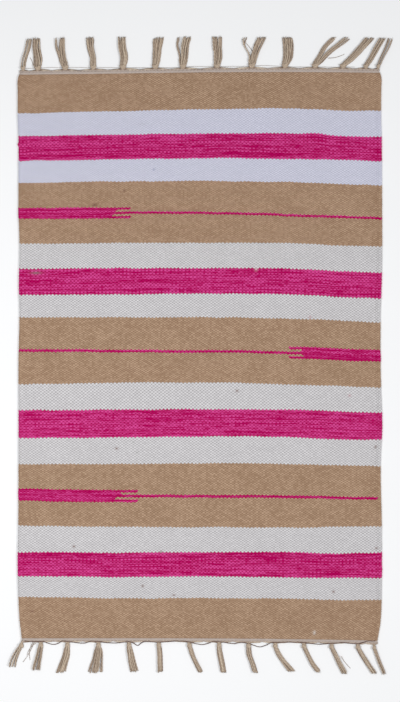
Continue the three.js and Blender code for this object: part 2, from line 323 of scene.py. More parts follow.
FAR_HEADING = Heading(
    strip=3.4,
    cord=4.7,
    edge=5.8,
    edge_bulges=(Bulge(-252.0, 10.0, 1.2),),
    cord_radius=0.80,
    threads=(Thread(0.40, 1.0, FAR_THREAD), Thread(0.32, 2.0, FAR_LINE)),
    knot_width=12.4,
    knot_taper=0.62,
    knot_shift=0.0,
    tent=1.2,
    yarn_tone=1.05,
)
NEAR_HEADING = Heading(
    strip=3.1,
    cord=4.1,
    edge=5.2,
    edge_bulges=(),
    cord_radius=0.60,
    threads=(Thread(0.62, 1.0, NEAR_THREAD),),
    knot_width=8.6,
    knot_taper=0.85,
    knot_shift=0.8,
    tent=0.4,
    yarn_tone=0.98,
)


@dataclass(frozen=True)
class Fleck:
    """A stain, slub or stray fibre in the cloth: its middle, colour and strength, and its half sizes."""

    x: float
    y: float
    colour: tuple[float, float, float]
    strength: float
    half_width: float = 2.2
    half_height: float = 2.0


BROWN = (0.16, 0.07, 0.05)
GREY = (0.20, 0.21, 0.19)
CREAM = (0.75, 0.74, 0.72)
BLUISH = (0.30, 0.32, 0.48)
ROSE = (0.45, 0.16, 0.20)

FLECKS = (
    Fleck(-95.0, 383.0, GREY, 0.14, 9.0, 2.0),
    Fleck(-76.0, 309.0, BLUISH, 0.74),
    Fleck(-271.0, 138.0, GREY, 0.74, 8.0, 2.0),
    Fleck(92.5, 143.0, CREAM, 0.85, 2.2, 2.2),
    Fleck(-173.4, 250.0, BROWN, 0.95, 3.8, 2.2),
    Fleck(-125.6, 273.6, BROWN, 0.68),
    Fleck(-138.9, -152.9, BROWN, 0.81),
    Fleck(-110.0, -141.5, GREY, 0.34),
    Fleck(-105.8, -159.5, GREY, 0.34),
    Fleck(61.2, -57.0, BROWN, 0.74),
    Fleck(248.0, -65.3, ROSE, 0.47, 2.2, 2.2),
    Fleck(290.9, -151.3, BROWN, 0.74, 2.2, 2.2),
    Fleck(-208.3, -314.9, BROWN, 0.81),
    Fleck(-66.1, -323.2, BROWN, 0.74),
    Fleck(-94.2, -379.4, BROWN, 0.81),
    Fleck(-44.6, -395.9, BROWN, 0.74),
    Fleck(221.5, -391.0, BROWN, 0.81),
    Fleck(291.8, -317.4, BROWN, 0.68),
    Fleck(-276.1, -422.3, BROWN, 0.68),
    Fleck(190.1, -457.0, CREAM, 0.62, 2.0, 3.0),
    Fleck(183.5, 63.6, ROSE, 0.61),
)


@dataclass(frozen=True)
class TasselPlan:
    """How one tassel lies.

    root is its knot's place across the rug. near, far and tip are how far the bundle leans from there at one
    third, two thirds and all of its reach. waist and spread are its width just past the knot and at the tips.
    The strands beyond the share called part stand off by fork, to the right, or to the left where it is
    negative.
    """

    root: float
    near: float
    far: float
    tip: float
    waist: float
    spread: float
    reach: float
    fork: float = 0.0
    part: float = 0.0


@dataclass(frozen=True)
class Stray:
    """A loose end of yarn: its two ends, and how far its middle bows out to the right (all in mm)."""

    start: tuple[float, float]
    end: tuple[float, float]
    bow: float


FAR_STRAYS = (
    Stray((93.0, 490.0), (68.6, 524.0), 3.0),
    Stray((-262.0, 480.0), (-273.0, 516.0), 2.0),
    Stray((212.0, 492.0), (239.0, 499.0), 1.5),
    Stray((-276.0, 479.0), (-281.0, 493.5), 1.0),
)
NEAR_STRAYS = (
    Stray((-273.5, -471.0), (-292.6, -506.0), -2.0),
    Stray((-271.0, -474.0), (-286.0, -494.5), 2.5),
    Stray((-276.0, -472.0), (-281.0, -503.0), 3.0),
    Stray((233.0, -496.0), (248.8, -516.6), 1.0),
    Stray((268.0, -474.0), (276.5, -469.0), 0.5),
)

FAR_TASSELS = (
    TasselPlan(-292.7, 2.4, 7.4, 10.2, 8.4, 8.8, 50),
    TasselPlan(-268.6, 0.2, -2.5, -2.6, 15.0, 12.6, 50),
    TasselPlan(-223.0, -4.3, -6.0, -5.6, 13.0, 12.0, 50, -5, 0.3),
    TasselPlan(-176.7, 0.0, -3.8, -5.0, 10.6, 12.6, 50),
    TasselPlan(-127.6, 1.5, -1.5, -1.8, 12.6, 14.8, 50),
    TasselPlan(-74.0, 2.1, 3.5, 5.0, 12.0, 18.0, 49),
    TasselPlan(-28.4, 1.8, 3.0, 6.6, 14.0, 16.0, 49, -7, 0.12),
    TasselPlan(27.8, 1.3, 0.0, -0.7, 12.0, 20.0, 49),
    TasselPlan(85.5, 3.5, 8.8, 15.5, 14.0, 19.0, 48, -18, 0.12),
    TasselPlan(140.5, 5.0, 5.6, 4.0, 13.6, 19.0, 48),
    TasselPlan(190.3, 11.5, 20.8, 36.0, 15.0, 18.0, 47, 12, 0.55),
    TasselPlan(236.5, 17.0, 31.0, 44.0, 14.0, 16.0, 47),
    TasselPlan(274.2, 9.8, 17.8, 26.8, 9.4, 11.6, 47),
    TasselPlan(294.6, 7.0, 14.5, 20.0, 6.4, 7.6, 47),
)

NEAR_TASSELS = (
    TasselPlan(-295.6, -7.0, -12.0, -15.0, 8.0, 10.4, 38),
    TasselPlan(-263.3, -2.0, -5.3, -8.1, 9.8, 12.6, 43),
    TasselPlan(-219.2, -1.5, -6.0, -10.6, 9.4, 16.0, 46.5),
    TasselPlan(-168.0, -0.8, -3.1, -5.0, 11.0, 22.0, 47.5),
    TasselPlan(-117.4, 2.3, 4.8, 8.3, 9.4, 14.0, 45.5),
    TasselPlan(-68.1, 1.5, 1.8, 2.0, 7.6, 8.8, 46.5),
    TasselPlan(-17.5, 4.6, 11.2, 18.8, 7.8, 8.0, 46),
    TasselPlan(31.6, 1.7, 4.8, 7.4, 9.0, 8.8, 46),
    TasselPlan(80.0, 1.7, 6.6, 11.2, 9.0, 9.2, 46),
    TasselPlan(124.3, 6.0, 15.4, 26.9, 7.8, 13.0, 43.5),
    TasselPlan(171.9, 6.1, 13.2, 23.6, 7.8, 8.4, 44),
    TasselPlan(217.5, 7.3, 14.2, 21.8, 7.8, 8.4, 46),
    TasselPlan(261.0, 7.9, 16.8, 26.3, 7.8, 9.8, 45.5),
    TasselPlan(288.0, 5.2, 11.0, 17.0, 5.8, 5.8, 46),
)


def cubic(
    start: np.ndarray, end: np.ndarray, leave: np.ndarray, arrive: np.ndarray, u: np.ndarray
) -> np.ndarray:
    """Follows a cubic: start (1 + 2u)(1 - u)² + leave u(1 - u)² + end u²(3 - 2u) - arrive u²(1 - u).

    Args:
        start: its value where u is 0.
        end: its value where u is 1.
        leave: its slope where u is 0.
        arrive: its slope where u is 1.
        u: the share of the way.

    Returns:
        The cubic's values.
    """
    return (
        start * (1 + 2 * u) * (1 - u) ** 2
        + leave * u * (1 - u) ** 2
        + end * u**2 * (3 - 2 * u)
        - arrive * u**2 * (1 - u)
    )


def smooth_through(places: np.ndarray, stations: Sequence[float], values: np.ndarray) -> np.ndarray:
    """Follows a smooth curve through values given at stations.

    Between two stations it is the cubic that has both values, and at each station the slope of the chord
    between its neighbours. Past the ends it stays level.

    Args:
        places: where to read the curve, an array of any shape.
        stations: rising places at which the values are given.
        values: the values, with the stations along the last axis.

    Returns:
        The curve's values, shaped as values without its last axis, followed by the shape of places.
    """
    stations = np.asarray(stations, float)
    values = np.asarray(values, float)
    chords = np.diff(values, axis=-1) / np.diff(stations)
    inner = (values[..., 2:] - values[..., :-2]) / (stations[2:] - stations[:-2])
    slopes = np.concatenate([chords[..., :1], inner, chords[..., -1:]], -1)
    first = np.clip(np.searchsorted(stations, places) - 1, 0, len(stations) - 2)
    width = stations[first + 1] - stations[first]
    u = np.clip((places - stations[first]) / width, 0, 1)
    leave, arrive = slopes[..., first] * width, slopes[..., first + 1] * width
    return cubic(values[..., first], values[..., first + 1], leave, arrive, u)


def smoothstep(value: np.ndarray, low: float, high: float) -> np.ndarray:
    """Rises smoothly from 0 at low to 1 at high: 3u² - 2u³ of the clipped share u."""
    u = np.clip((value - low) / (high - low), 0, 1)
    return u * u * (3 - 2 * u)


def drift(
    rows: int, columns: int, row_step: float, column_step: float, rng: np.random.Generator
) -> np.ndarray:
    """Makes a slow random field between about -1 and 1.

    Random values stand on a coarse grid, and each point takes the four round it, weighed by smoothsteps.

    Args:
        rows: points along the first axis.
        columns: points along the second axis.
        row_step: points from one random value to the next along the first axis.
        column_step: the same along the second axis.
        rng: where the random values come from.

    Returns:
        An array of rows by columns.
    """
    down, across = np.arange(rows) / row_step, np.arange(columns) / column_step
    coarse = rng.uniform(-1, 1, (int(down[-1]) + 2, int(across[-1]) + 2))
    j, i = down.astype(int), across.astype(int)
    v, u = smoothstep(down - j, 0, 1)[:, None], smoothstep(across - i, 0, 1)[None, :]
    upper = coarse[np.ix_(j, i)] * (1 - u) + coarse[np.ix_(j, i + 1)] * u
    lower = coarse[np.ix_(j + 1, i)] * (1 - u) + coarse[np.ix_(j + 1, i + 1)] * u
    return upper * (1 - v) + lower * v


class Outline:
    """The cloth's outline and its stripes' edges, as smooth curves."""

    def __init__(self) -> None:
        """Reads the tables of sides and stripes."""
        self.along = [side.along for side in SIDES]
        self.lefts = np.array([side.left for side in SIDES])
        self.rights = np.array([side.right for side in SIDES])
        self.edges = np.array([FAR_EDGE, *(stripe.near_edge for stripe in STRIPES)])
        self.pick_counts = np.cumsum([0, *(stripe.picks for stripe in STRIPES)])

    def left(self, y: np.ndarray) -> np.ndarray:
        """Returns where the left selvedge is at y."""
        return smooth_through(y, self.along, self.lefts)

    def right(self, y: np.ndarray) -> np.ndarray:
        """Returns where the right selvedge is at y."""
        return smooth_through(y, self.along, self.rights)

    def end(self, x: np.ndarray, side: int) -> np.ndarray:
        """Returns where the far or near end edge is along the rug, at places x across it."""
        return smooth_through(x, STATIONS, self.edges[0 if side == FAR else -1])

    def beyond(self, x: np.ndarray, side: int, distance: np.ndarray) -> np.ndarray:
        """Returns how far along the rug a distance out from the cloth's end is, at places x across it."""
        return self.end(x, side) + side * distance

    def pick_lines(self, picks: np.ndarray, x: np.ndarray) -> np.ndarray:
        """Returns how far along the rug each pick lies at each place x, evenly spaced within its stripe."""
        edges = smooth_through(x, STATIONS, self.edges)
        edges[HUMP_STRIPE + 1] += HUMP.at(x)
        stripe = np.clip(np.searchsorted(self.pick_counts, picks, side="right") - 1, 0, len(STRIPES) - 1)
        share = (picks - self.pick_counts[stripe]) / np.diff(self.pick_counts)[stripe]
        return edges[stripe] * (1 - share)[:, None] + edges[stripe + 1] * share[:, None]

    def warp_places(self, y: np.ndarray) -> np.ndarray:
        """Returns where each warp is across the rug: evenly spaced between the weft's turns at both sides."""
        share = np.arange(WARPS) / (WARPS - 1)
        first, last = self.left(y) + TURN_WIDTH, self.right(y) - TURN_WIDTH
        return first + (last - first) * share


OUTLINE = Outline()


def make_piece(name: str, points: np.ndarray, faces: Sequence) -> bpy.types.Object:
    """Makes a smoothly shaded mesh object at the origin that rides on the rug's body.

    Args:
        name: the piece's name.
        points: its vertices in millimetres, one to a row.
        faces: lists or arrays of vertex numbers, counter-clockwise seen from outside.

    Returns:
        The new object.
    """
    mesh = bpy.data.meshes.new(name)
    mesh.from_pydata(points * MM, [], faces, shade_flat=False)
    piece = bpy.data.objects.new(name, mesh)
    bpy.context.scene.collection.objects.link(piece)
    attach(piece, BODY)
    LOG.info("%s: %d faces", name, len(mesh.polygons))
    return piece


def add_map(piece: bpy.types.Object, name: str, places: np.ndarray) -> None:
    """Gives a piece a UV map that holds a pair of numbers for each vertex."""
    layer = piece.data.uv_layers.new(name=name)
    corners = np.empty(len(piece.data.loops), np.int32)
    piece.data.loops.foreach_get("vertex_index", corners)
    layer.uv.foreach_set("vector", places[corners].astype(np.float32).ravel())


def add_number(piece: bpy.types.Object, name: str, values: np.ndarray) -> None:
    """Gives a piece an attribute that holds one number for each vertex."""
    attribute = piece.data.attributes.new(name, "FLOAT", "POINT")
    attribute.data.foreach_set("value", values.astype(np.float32).ravel())


def add_colours(piece: bpy.types.Object, name: str, colours: np.ndarray) -> None:
    """Gives a piece an attribute that holds a colour and a strength for each vertex."""
    attribute = piece.data.attributes.new(name, "FLOAT_COLOR", "POINT")
    attribute.data.foreach_set("color", colours.astype(np.float32).ravel())


# How far past the last warp or pick the weave numbers of a slab's walls are
WALL_WEAVE = 0.45


@dataclass(frozen=True)
class Rim:
    """A ring round a slab's wall: how far it stands out from the border, and its share of the height."""

    out: float
    level: float


@dataclass
class WovenSlab:
    """A flat piece of weft-faced plain weave, closed all round.

    crossings holds a top point for every pick and warp, the first row at the far end, and weave the warp and
    pick numbers of the same points. turns is how far the weft's turns stand out at each pick, left and right,
    and rims are the rings of the wall from the top down. The underside is flat, on a grid of every few warps
    and picks.
    """

    crossings: np.ndarray
    weave: np.ndarray
    turns: np.ndarray
    rims: Sequence[Rim]
    under_rows: int
    under_columns: int

    def border(self) -> tuple[np.ndarray, np.ndarray]:
        """Returns the row and column numbers of the top's border, counter-clockwise from the near left."""
        rows, columns = self.crossings.shape[:2]
        across, up = np.arange(columns), np.arange(rows - 1, -1, -1)
        row = np.concatenate([np.full(columns, rows - 1), up[1:], np.zeros(columns - 1, int), up[::-1][1:-1]])
        sides = np.full(rows - 1, columns - 1), np.zeros(rows - 2, int)
        column = np.concatenate([across, sides[0], across[::-1][1:], sides[1]])
        return row, column

    def top_faces(self) -> np.ndarray:
        """Returns two triangles for each cell, split between its low corners, so that floats stay domed."""
        rows, columns = self.crossings.shape[:2]
        j, i = np.meshgrid(np.arange(rows - 1), np.arange(columns - 1), indexing="ij")
        far_left = j * columns + i
        far_right, near_left, near_right = far_left + 1, far_left + columns, far_left + columns + 1
        high_far_left = ((i + j) % 2 == 0)[..., None, None]
        if_high = np.stack([near_left, near_right, far_right, near_left, far_right, far_left], -1)
        if_low = np.stack([near_left, near_right, far_left, near_right, far_right, far_left], -1)
        shape = (rows - 1, columns - 1, 2, 3)
        return np.where(high_far_left, if_high.reshape(shape), if_low.reshape(shape)).reshape(-1, 3)

    def under_numbers(self) -> tuple[np.ndarray, np.ndarray]:
        """Returns the rows and columns of the top whose places the underside's grid takes."""
        rows, columns = self.crossings.shape[:2]
        down = np.linspace(0, rows - 1, self.under_rows + 2)[1:-1]
        across = np.linspace(0, columns - 1, self.under_columns + 2)[1:-1]
        return np.round(down).astype(int), np.round(across).astype(int)

    def build(self) -> tuple[np.ndarray, np.ndarray, np.ndarray]:
        """Joins the top, the wall's rings and the underside.

        Returns:
            The points, the triangles, and each point's warp and pick numbers.
        """
        rows, columns = self.crossings.shape[:2]
        row, column = self.border()
        points, weave = [self.crossings.reshape(-1, 3)], [self.weave.reshape(-1, 2)]
        faces = [self.top_faces()]

        edge = self.crossings[row, column]
        ahead = np.roll(edge, -1, 0) - np.roll(edge, 1, 0)
        outwards = np.stack([ahead[:, 1], -ahead[:, 0]], -1)
        outwards /= np.linalg.norm(outwards, axis=1, keepdims=True)
        at_left, at_right = column == 0, column == columns - 1
        at_side = at_left | at_right
        ripple = at_left * self.turns[row, 0] + at_right * self.turns[row, 1]
        past_end = np.where(at_side, 0, np.sign(row - rows / 2))
        beyond = np.stack([np.sign(column - columns / 2) * at_side, past_end], -1)

        ring = row * columns + column
        count = rows * columns
        for rim in self.rims:
            stands_out = rim.out + ripple * (rim.out > 0)
            place = edge[:, :2] + outwards * stands_out[:, None]
            points.append(np.column_stack([place, edge[:, 2] * rim.level]))
            weave.append(self.weave[row, column] + beyond * WALL_WEAVE)
            lower = count + np.arange(len(ring))
            count += len(ring)
            ahead_ring, ahead_lower = np.roll(ring, -1), np.roll(lower, -1)
            faces += [np.stack([lower, ahead_lower, ahead_ring], -1), np.stack([lower, ahead_ring, ring], -1)]
            ring = lower

        down, across = self.under_numbers()
        grid = self.crossings[np.ix_(down, across)] * (1, 1, 0)
        points.append(grid.reshape(-1, 3))
        weave.append(self.weave[np.ix_(down, across)].reshape(-1, 2))
        number = count + np.arange(grid.shape[0] * grid.shape[1]).reshape(grid.shape[:2])
        faces += self.under_faces(number, ring, row, column, down, across)
        return np.concatenate(points), np.concatenate(faces), np.concatenate(weave)

    def under_faces(
        self,
        number: np.ndarray,
        ring: np.ndarray,
        row: np.ndarray,
        column: np.ndarray,
        down: np.ndarray,
        across: np.ndarray,
    ) -> list[np.ndarray]:
        """Fills the underside: the coarse grid's cells, and a band of fans from its border to the last ring.

        Each step of the ring looks at the coarse border point nearest to it, and where that point changes, a
        triangle spans the step between the two.

        Args:
            number: the vertex numbers of the coarse grid.
            ring: the vertex numbers of the wall's last ring.
            row: the row number of each point of the ring.
            column: the column number of each point of the ring.
            down: the rows that the coarse grid takes.
            across: the columns that the coarse grid takes.

        Returns:
            Arrays of triangles that face down.
        """
        far, near = number[:-1], number[1:]
        cells = [
            np.stack([near[:, :-1], far[:, :-1], far[:, 1:]], -1).reshape(-1, 3),
            np.stack([near[:, :-1], far[:, 1:], near[:, 1:]], -1).reshape(-1, 3),
        ]
        high, wide = len(down) - 1, len(across) - 1
        loop = np.concatenate([number[-1], number[::-1, -1][1:], number[0, ::-1][1:], number[1:-1, 0]])
        rows, columns = self.crossings.shape[:2]
        along_x = np.interp(column, across, np.arange(wide + 1))
        along_y = np.interp(row, down, np.arange(high + 1))
        turn = np.arange(len(row))
        right_starts, far_starts, left_starts = columns - 1, columns + rows - 2, 2 * columns + rows - 3
        place = np.select(
            [turn < right_starts, turn < far_starts, turn < left_starts],
            [along_x, wide + high - along_y, 2 * wide + high - along_x],
            wide * 2 + high + along_y,
        )
        middle = (place + np.append(place[1:], len(loop))) / 2
        nearest = np.floor(middle + 0.5).astype(int) % len(loop)
        fans = np.stack([ring, loop[nearest], np.roll(ring, -1)], -1)
        before = np.roll(nearest, 1)
        steps = np.flatnonzero(before != nearest)
        spans = np.stack([loop[before[steps]], loop[nearest[steps]], ring[steps]], -1)
        return [*cells, fans, spans]


def top_height(x: np.ndarray, y: np.ndarray) -> np.ndarray:
    """Returns the mean height of the cloth's top.

    It is the thickness, plus a bell-shaped ridge along each selvedge, less a groove inside it and a fall at
    the rim, plus two slow products of sines.

    Args:
        x: places across the rug.
        y: places along the rug.

    Returns:
        Heights above the floor.
    """
    from_side = np.minimum(x - OUTLINE.left(y), OUTLINE.right(y) - x)
    from_end = np.minimum(OUTLINE.end(x, FAR) - y, y - OUTLINE.end(x, NEAR))
    rim = SIDE_FALL * np.exp(-from_side / FALL_REACH) + END_FALL * np.exp(-from_end / FALL_REACH)
    waves = sum(wave.at(x, y) for wave in WAVES)
    return CLOTH_THICKNESS + RIDGE.at(from_side) - GROOVE.at(from_side) - rim + WAVE_HEIGHT * waves


@dataclass
class StripedCloth:
    """The woven cloth of the rug, with a point for every crossing of a warp and a pick.

    sway, crowding and jitter are how far crossings move: slowly, within a few picks, and one by one. Each
    pair of steps is the picks and the warps from one random value to the next. Picks near an end stay in
    line, the last most. Floats are centred sinking below the top, and their heights vary by unevenness. The
    weft's turns stand out by turn_height, more or less by turn_chance of it.
    """

    sway: float = 0.60
    sway_steps: tuple[int, int] = (23, 9)
    side_sway_steps: tuple[int, int] = (31, 12)
    crowding: float = 0.30
    crowding_steps: tuple[int, int] = (5, 4)
    jitter: float = 0.35
    picks_in_line: int = 6
    sinking: float = 0.6
    unevenness: float = 0.15
    unevenness_steps: tuple[int, int] = (7, 5)
    fine_unevenness: float = 0.06
    turn_height: float = 0.30
    turn_chance: float = 0.6
    rims: tuple[Rim, ...] = (Rim(0.5, 0.80), Rim(0.7, 0.50), Rim(0.5, 0.18), Rim(0.0, 0.0))
    seed: int = 11

    def crossings(self, rng: np.random.Generator) -> tuple[np.ndarray, np.ndarray]:
        """Places every crossing of the weave.

        A crossing lies where its pick's line meets its warp, moved by a slow sway, by the crowding of a few
        picks and by a small jitter. It is a float's crest where the warp and pick numbers are both even or
        both odd, and else a dip.

        Args:
            rng: where the unevenness comes from.

        Returns:
            The points and their warp and pick numbers, both picks by warps.
        """
        picks = np.arange(PICKS)
        y = OUTLINE.pick_lines(picks + 0.5, OUTLINE.warp_places(np.zeros(1)))
        x = OUTLINE.warp_places(y[:, :1])
        rows, columns = y.shape
        inner = np.minimum(picks, PICKS - 1 - picks).clip(0, self.picks_in_line)[:, None] / self.picks_in_line
        y = y + inner * self.sway * drift(rows, columns, *self.sway_steps, rng)
        y = y + inner * self.crowding * drift(rows, columns, *self.crowding_steps, rng)
        y = y + inner * self.jitter * rng.uniform(-1, 1, y.shape)
        x = x + self.sway * drift(rows, columns, *self.side_sway_steps, rng)
        x = x + self.jitter * rng.uniform(-1, 1, x.shape)
        x[:, [0, -1]] = OUTLINE.warp_places(y[:, :1])[:, [0, -1]]

        relief = np.repeat([stripe.yarn.value.relief for stripe in STRIPES], [s.picks for s in STRIPES])
        warp, pick = np.meshgrid(np.arange(WARPS), picks)
        crest = np.where((warp + pick) % 2 == 0, 1.0, -1.0)
        uneven = self.unevenness * drift(rows, columns, *self.unevenness_steps, rng)
        uneven = uneven + self.fine_unevenness * rng.uniform(-1, 1, y.shape)
        z = top_height(x, y) + relief[:, None] * (crest - self.sinking) + uneven
        return np.stack([x, y, z], -1), np.stack([warp, pick], -1).astype(float)

    def flecks(self, points: np.ndarray) -> np.ndarray:
        """Returns each point's stain: a colour, and a strength that falls off as a bell from the fleck.

        Args:
            points: the cloth's points, the top's first.

        Returns:
            A colour and strength for each point.
        """
        stain = np.zeros((len(points), 4))
        for fleck in FLECKS:
            middle = points[np.argmin((points[:, 0] - fleck.x) ** 2 + (points[:, 1] - fleck.y) ** 2)]
            far_off = ((points[:, 0] - middle[0]) / fleck.half_width) ** 2
            far_off += ((points[:, 1] - middle[1]) / fleck.half_height) ** 2
            strength = fleck.strength * np.exp(-far_off)
            stronger = strength > stain[:, 3]
            stain[stronger, :3] = fleck.colour
            stain[stronger, 3] = strength[stronger]
        return stain

    def build(self) -> bpy.types.Object:
        """Builds the cloth and dresses it with the striped finish."""
        rng = np.random.default_rng(self.seed)
        crossings, weave = self.crossings(rng)
        even_odd = np.cos(np.pi * np.arange(PICKS))[:, None]
        along = crossings[:, [0, -1], 1]
        turns = self.turn_height * (even_odd + self.turn_chance * rng.uniform(-1, 1, along.shape))
        turns[:, 0] += bulged(along[:, 0], LEFT_BULGES)
        turns[:, 1] += bulged(along[:, 1], RIGHT_BULGES)
        slab = WovenSlab(crossings, weave, turns, self.rims, under_rows=56, under_columns=26)
        points, faces, places = slab.build()
        cloth = make_piece("striped_cloth", points, faces)
        add_map(cloth, "weave", places)
        add_colours(cloth, "fleck", self.flecks(points))
        cloth.data.materials.append(StripedFinish().build())
        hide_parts("rug_cloth")
        return cloth


# What every finish shares: how strongly its relief shows, its gloss, and how rough its sheen is
BUMP_STRENGTH = 0.8
GLOSS = 0.04
SHEEN_ROUGHNESS = 0.45


@dataclass(frozen=True)
class Feel:
    """How a finish takes light: the height of its relief in metres, its roughness and its sheen."""

    relief: float
    roughness: float
    sheen: float


class Wire:
    """One value that flows through a material's nodes. Arithmetic on it adds Math nodes."""

    def __init__(self, graph: "Graph", socket: bpy.types.NodeSocket) -> None:
        """Holds a node's output."""
        self.graph = graph
        self.socket = socket

    def __add__(self, other: "Wire | float") -> "Wire":
        """Adds two numbers."""
        return self.graph.math("ADD", self, other)

    def __sub__(self, other: "Wire | float") -> "Wire":
        """Takes the second number from the first."""
        return self.graph.math("SUBTRACT", self, other)

    def __mul__(self, other: "Wire | float") -> "Wire":
        """Multiplies two numbers."""
        return self.graph.math("MULTIPLY", self, other)

    def floor(self) -> "Wire":
        """Rounds down."""
        return self.graph.math("FLOOR", self)

    def modulo(self, other: float) -> "Wire":
        """Returns what is left over after whole steps of other, never negative."""
        return self.graph.math("FLOORED_MODULO", self, other)

    def size(self) -> "Wire":
        """Drops the sign."""
        return self.graph.math("ABSOLUTE", self)

    def sine(self) -> "Wire":
        """Takes the sine of an angle in radians."""
        return self.graph.math("SINE", self)

    def cosine(self) -> "Wire":
        """Takes the cosine of an angle in radians."""
        return self.graph.math("COSINE", self)

    def limited(self) -> "Wire":
        """Keeps the number between 0 and 1."""
        node = self.graph.add("Clamp", {0: self})
        return Wire(self.graph, node.outputs[0])

    def over(self, edge: float) -> "Wire":
        """Returns 1 above the edge, and else 0."""
        return self.graph.math("GREATER_THAN", self, edge)

    def power(self, other: float) -> "Wire":
        """Raises to a power."""
        return self.graph.math("POWER", self, other)

    def within(self, low: float, high: float) -> "Wire":
        """Returns 1 from half below low to half above high, and else 0."""
        return self.graph.math("COMPARE", self, (low + high) / 2, (high - low) / 2 + 0.5)

    def either(self, other: "Wire") -> "Wire":
        """Returns the greater of two numbers."""
        return self.graph.math("MAXIMUM", self, other)


class Graph:
    """The shader nodes of one material round its Principled shader."""

    def __init__(self, name: str) -> None:
        """Starts a material."""
        self.material = bpy.data.materials.new(name)
        self.material.use_nodes = True
        self.tree = self.material.node_tree
        self.surface = self.tree.nodes["Principled BSDF"]

    def feed(self, socket: bpy.types.NodeSocket, value: "Wire | float | tuple") -> None:
        """Links a wire to an input, or sets the input to a plain value."""
        if isinstance(value, Wire):
            self.tree.links.new(value.socket, socket)
        else:
            socket.default_value = value

    def add(self, kind: str, inputs: dict, **settings) -> bpy.types.Node:
        """Adds a node, sets it and feeds its inputs by name or number."""
        node = self.tree.nodes.new(f"ShaderNode{kind}")
        for name, value in settings.items():
            setattr(node, name, value)
        for key, value in inputs.items():
            self.feed(node.inputs[key], value)
        return node

    def math(self, operation: str, *values: "Wire | float") -> Wire:
        """Adds a Math node."""
        node = self.add("Math", dict(enumerate(values)), operation=operation)
        return Wire(self, node.outputs[0])

    def mix(
        self, share: "Wire | float", first: "Wire | tuple", second: "Wire | tuple", how: str = "MIX"
    ) -> Wire:
        """Blends two colours."""
        inputs = {0: share, 6: as_colour(first), 7: as_colour(second)}
        node = self.add("Mix", inputs, data_type="RGBA", blend_type=how)
        return Wire(self, node.outputs[2])

    def uv(self, name: str) -> tuple[Wire, Wire]:
        """Reads both numbers of a piece's UV map."""
        place = self.add("UVMap", {}, uv_map=name)
        parts = self.add("SeparateXYZ", {0: Wire(self, place.outputs[0])})
        return Wire(self, parts.outputs[0]), Wire(self, parts.outputs[1])

    def attribute(self, name: str) -> bpy.types.Node:
        """Reads a piece's attribute."""
        return self.add("Attribute", {}, attribute_name=name)

    def object_place(self) -> Wire:
        """Reads the place on the rug, in metres."""
        return Wire(self, self.add("TexCoord", {}).outputs["Object"])

    def vector(self, x: "Wire | float", y: "Wire | float", z: "Wire | float" = 0.0) -> Wire:
        """Joins three numbers into a place."""
        return Wire(self, self.add("CombineXYZ", {0: x, 1: y, 2: z}).outputs[0])

    def noise(self, place: Wire, scale: float, detail: float = 2.0) -> Wire:
        """Returns soft noise, about 0.5 on average."""
        node = self.add("TexNoise", {"Vector": place, "Scale": scale, "Detail": detail})
        return Wire(self, node.outputs[0])

    def chance(self, number: Wire, other: "Wire | float" = 0.0) -> Wire:
        """Returns an even random number from 0 to 1 for each pair of whole numbers."""
        place = self.vector(number, other)
        node = self.add("TexWhiteNoise", {"Vector": place}, noise_dimensions="2D")
        return Wire(self, node.outputs[0])

    def finish(self, colour: Wire, height: Wire, feel: Feel) -> bpy.types.Material:
        """Feeds the Principled shader.

        Args:
            colour: the base colour.
            height: the relief, where 1 is as high as the feel says.
            feel: how the finish takes light.

        Returns:
            The material.
        """
        relief = self.add("Bump", {"Height": height, "Distance": feel.relief, "Strength": BUMP_STRENGTH})
        inputs = self.surface.inputs
        self.feed(inputs["Base Color"], colour)
        self.feed(inputs["Normal"], Wire(self, relief.outputs[0]))
        inputs["Roughness"].default_value = feel.roughness
        inputs["Specular IOR Level"].default_value = GLOSS
        inputs["Sheen Weight"].default_value = feel.sheen
        inputs["Sheen Roughness"].default_value = SHEEN_ROUGHNESS
        return self.material


def as_colour(value: "Wire | tuple") -> "Wire | tuple":
    """Gives a plain colour its alpha of 1."""
    return value if isinstance(value, Wire) else (*value[:3], 1.0)


# How far a float's sides bend (in warps), and how low its top is at them
SWELLING = 0.22
SIDE_FALLING = 0.35


@dataclass(frozen=True)
class Cell:
    """The float that shows at a place of the weave, and the place on it.

    warp and pick are its numbers. across and along run from -0.5 to 0.5 over it. A float swells at its middle
    into the narrow ends of the floats beside it.
    """

    warp: Wire
    pick: Wire
    across: Wire
    along: Wire

    @staticmethod
    def under(graph: Graph) -> "Cell":
        """Finds the float from the weave map: every other pick shows on a warp, and is two picks high.

        Its sides bend by SWELLING times the cosine of pi times the pick times the sine of pi times the warp.
        """
        s, t = graph.uv("weave")
        bent = s - (t * math.pi).cosine() * (s * math.pi).sine() * SWELLING
        warp = (bent + 0.5).floor()
        odd = warp.modulo(2)
        pick = ((t - odd + 1.0) * 0.5).floor() * 2.0 + odd
        return Cell(warp, pick, bent - warp, (t - pick) * 0.5)

    def dome(self) -> Wire:
        """Returns the float's height, from 0 at its ends to 1.

        It is 1, less SIDE_FALLING times the fourth power of twice the place across, less the square of twice
        the place along.
        """
        across = (self.across * 2.0).size().power(4.0)
        along = (self.along * 2.0).size().power(2.0)
        return (across * -SIDE_FALLING - along + 1.0).limited()


@dataclass(frozen=True)
class Streak:
    """Soft noise drawn out along the picks: its scale across and along the rug, its layer and its weight."""

    across: float
    along: float
    layer: float
    weight: float


STREAKS = (Streak(0.02, 1.6, 0.0, 2.6), Streak(0.09, 1.7, 3.0, 2.4), Streak(0.28, 1.6, 7.0, 1.4))


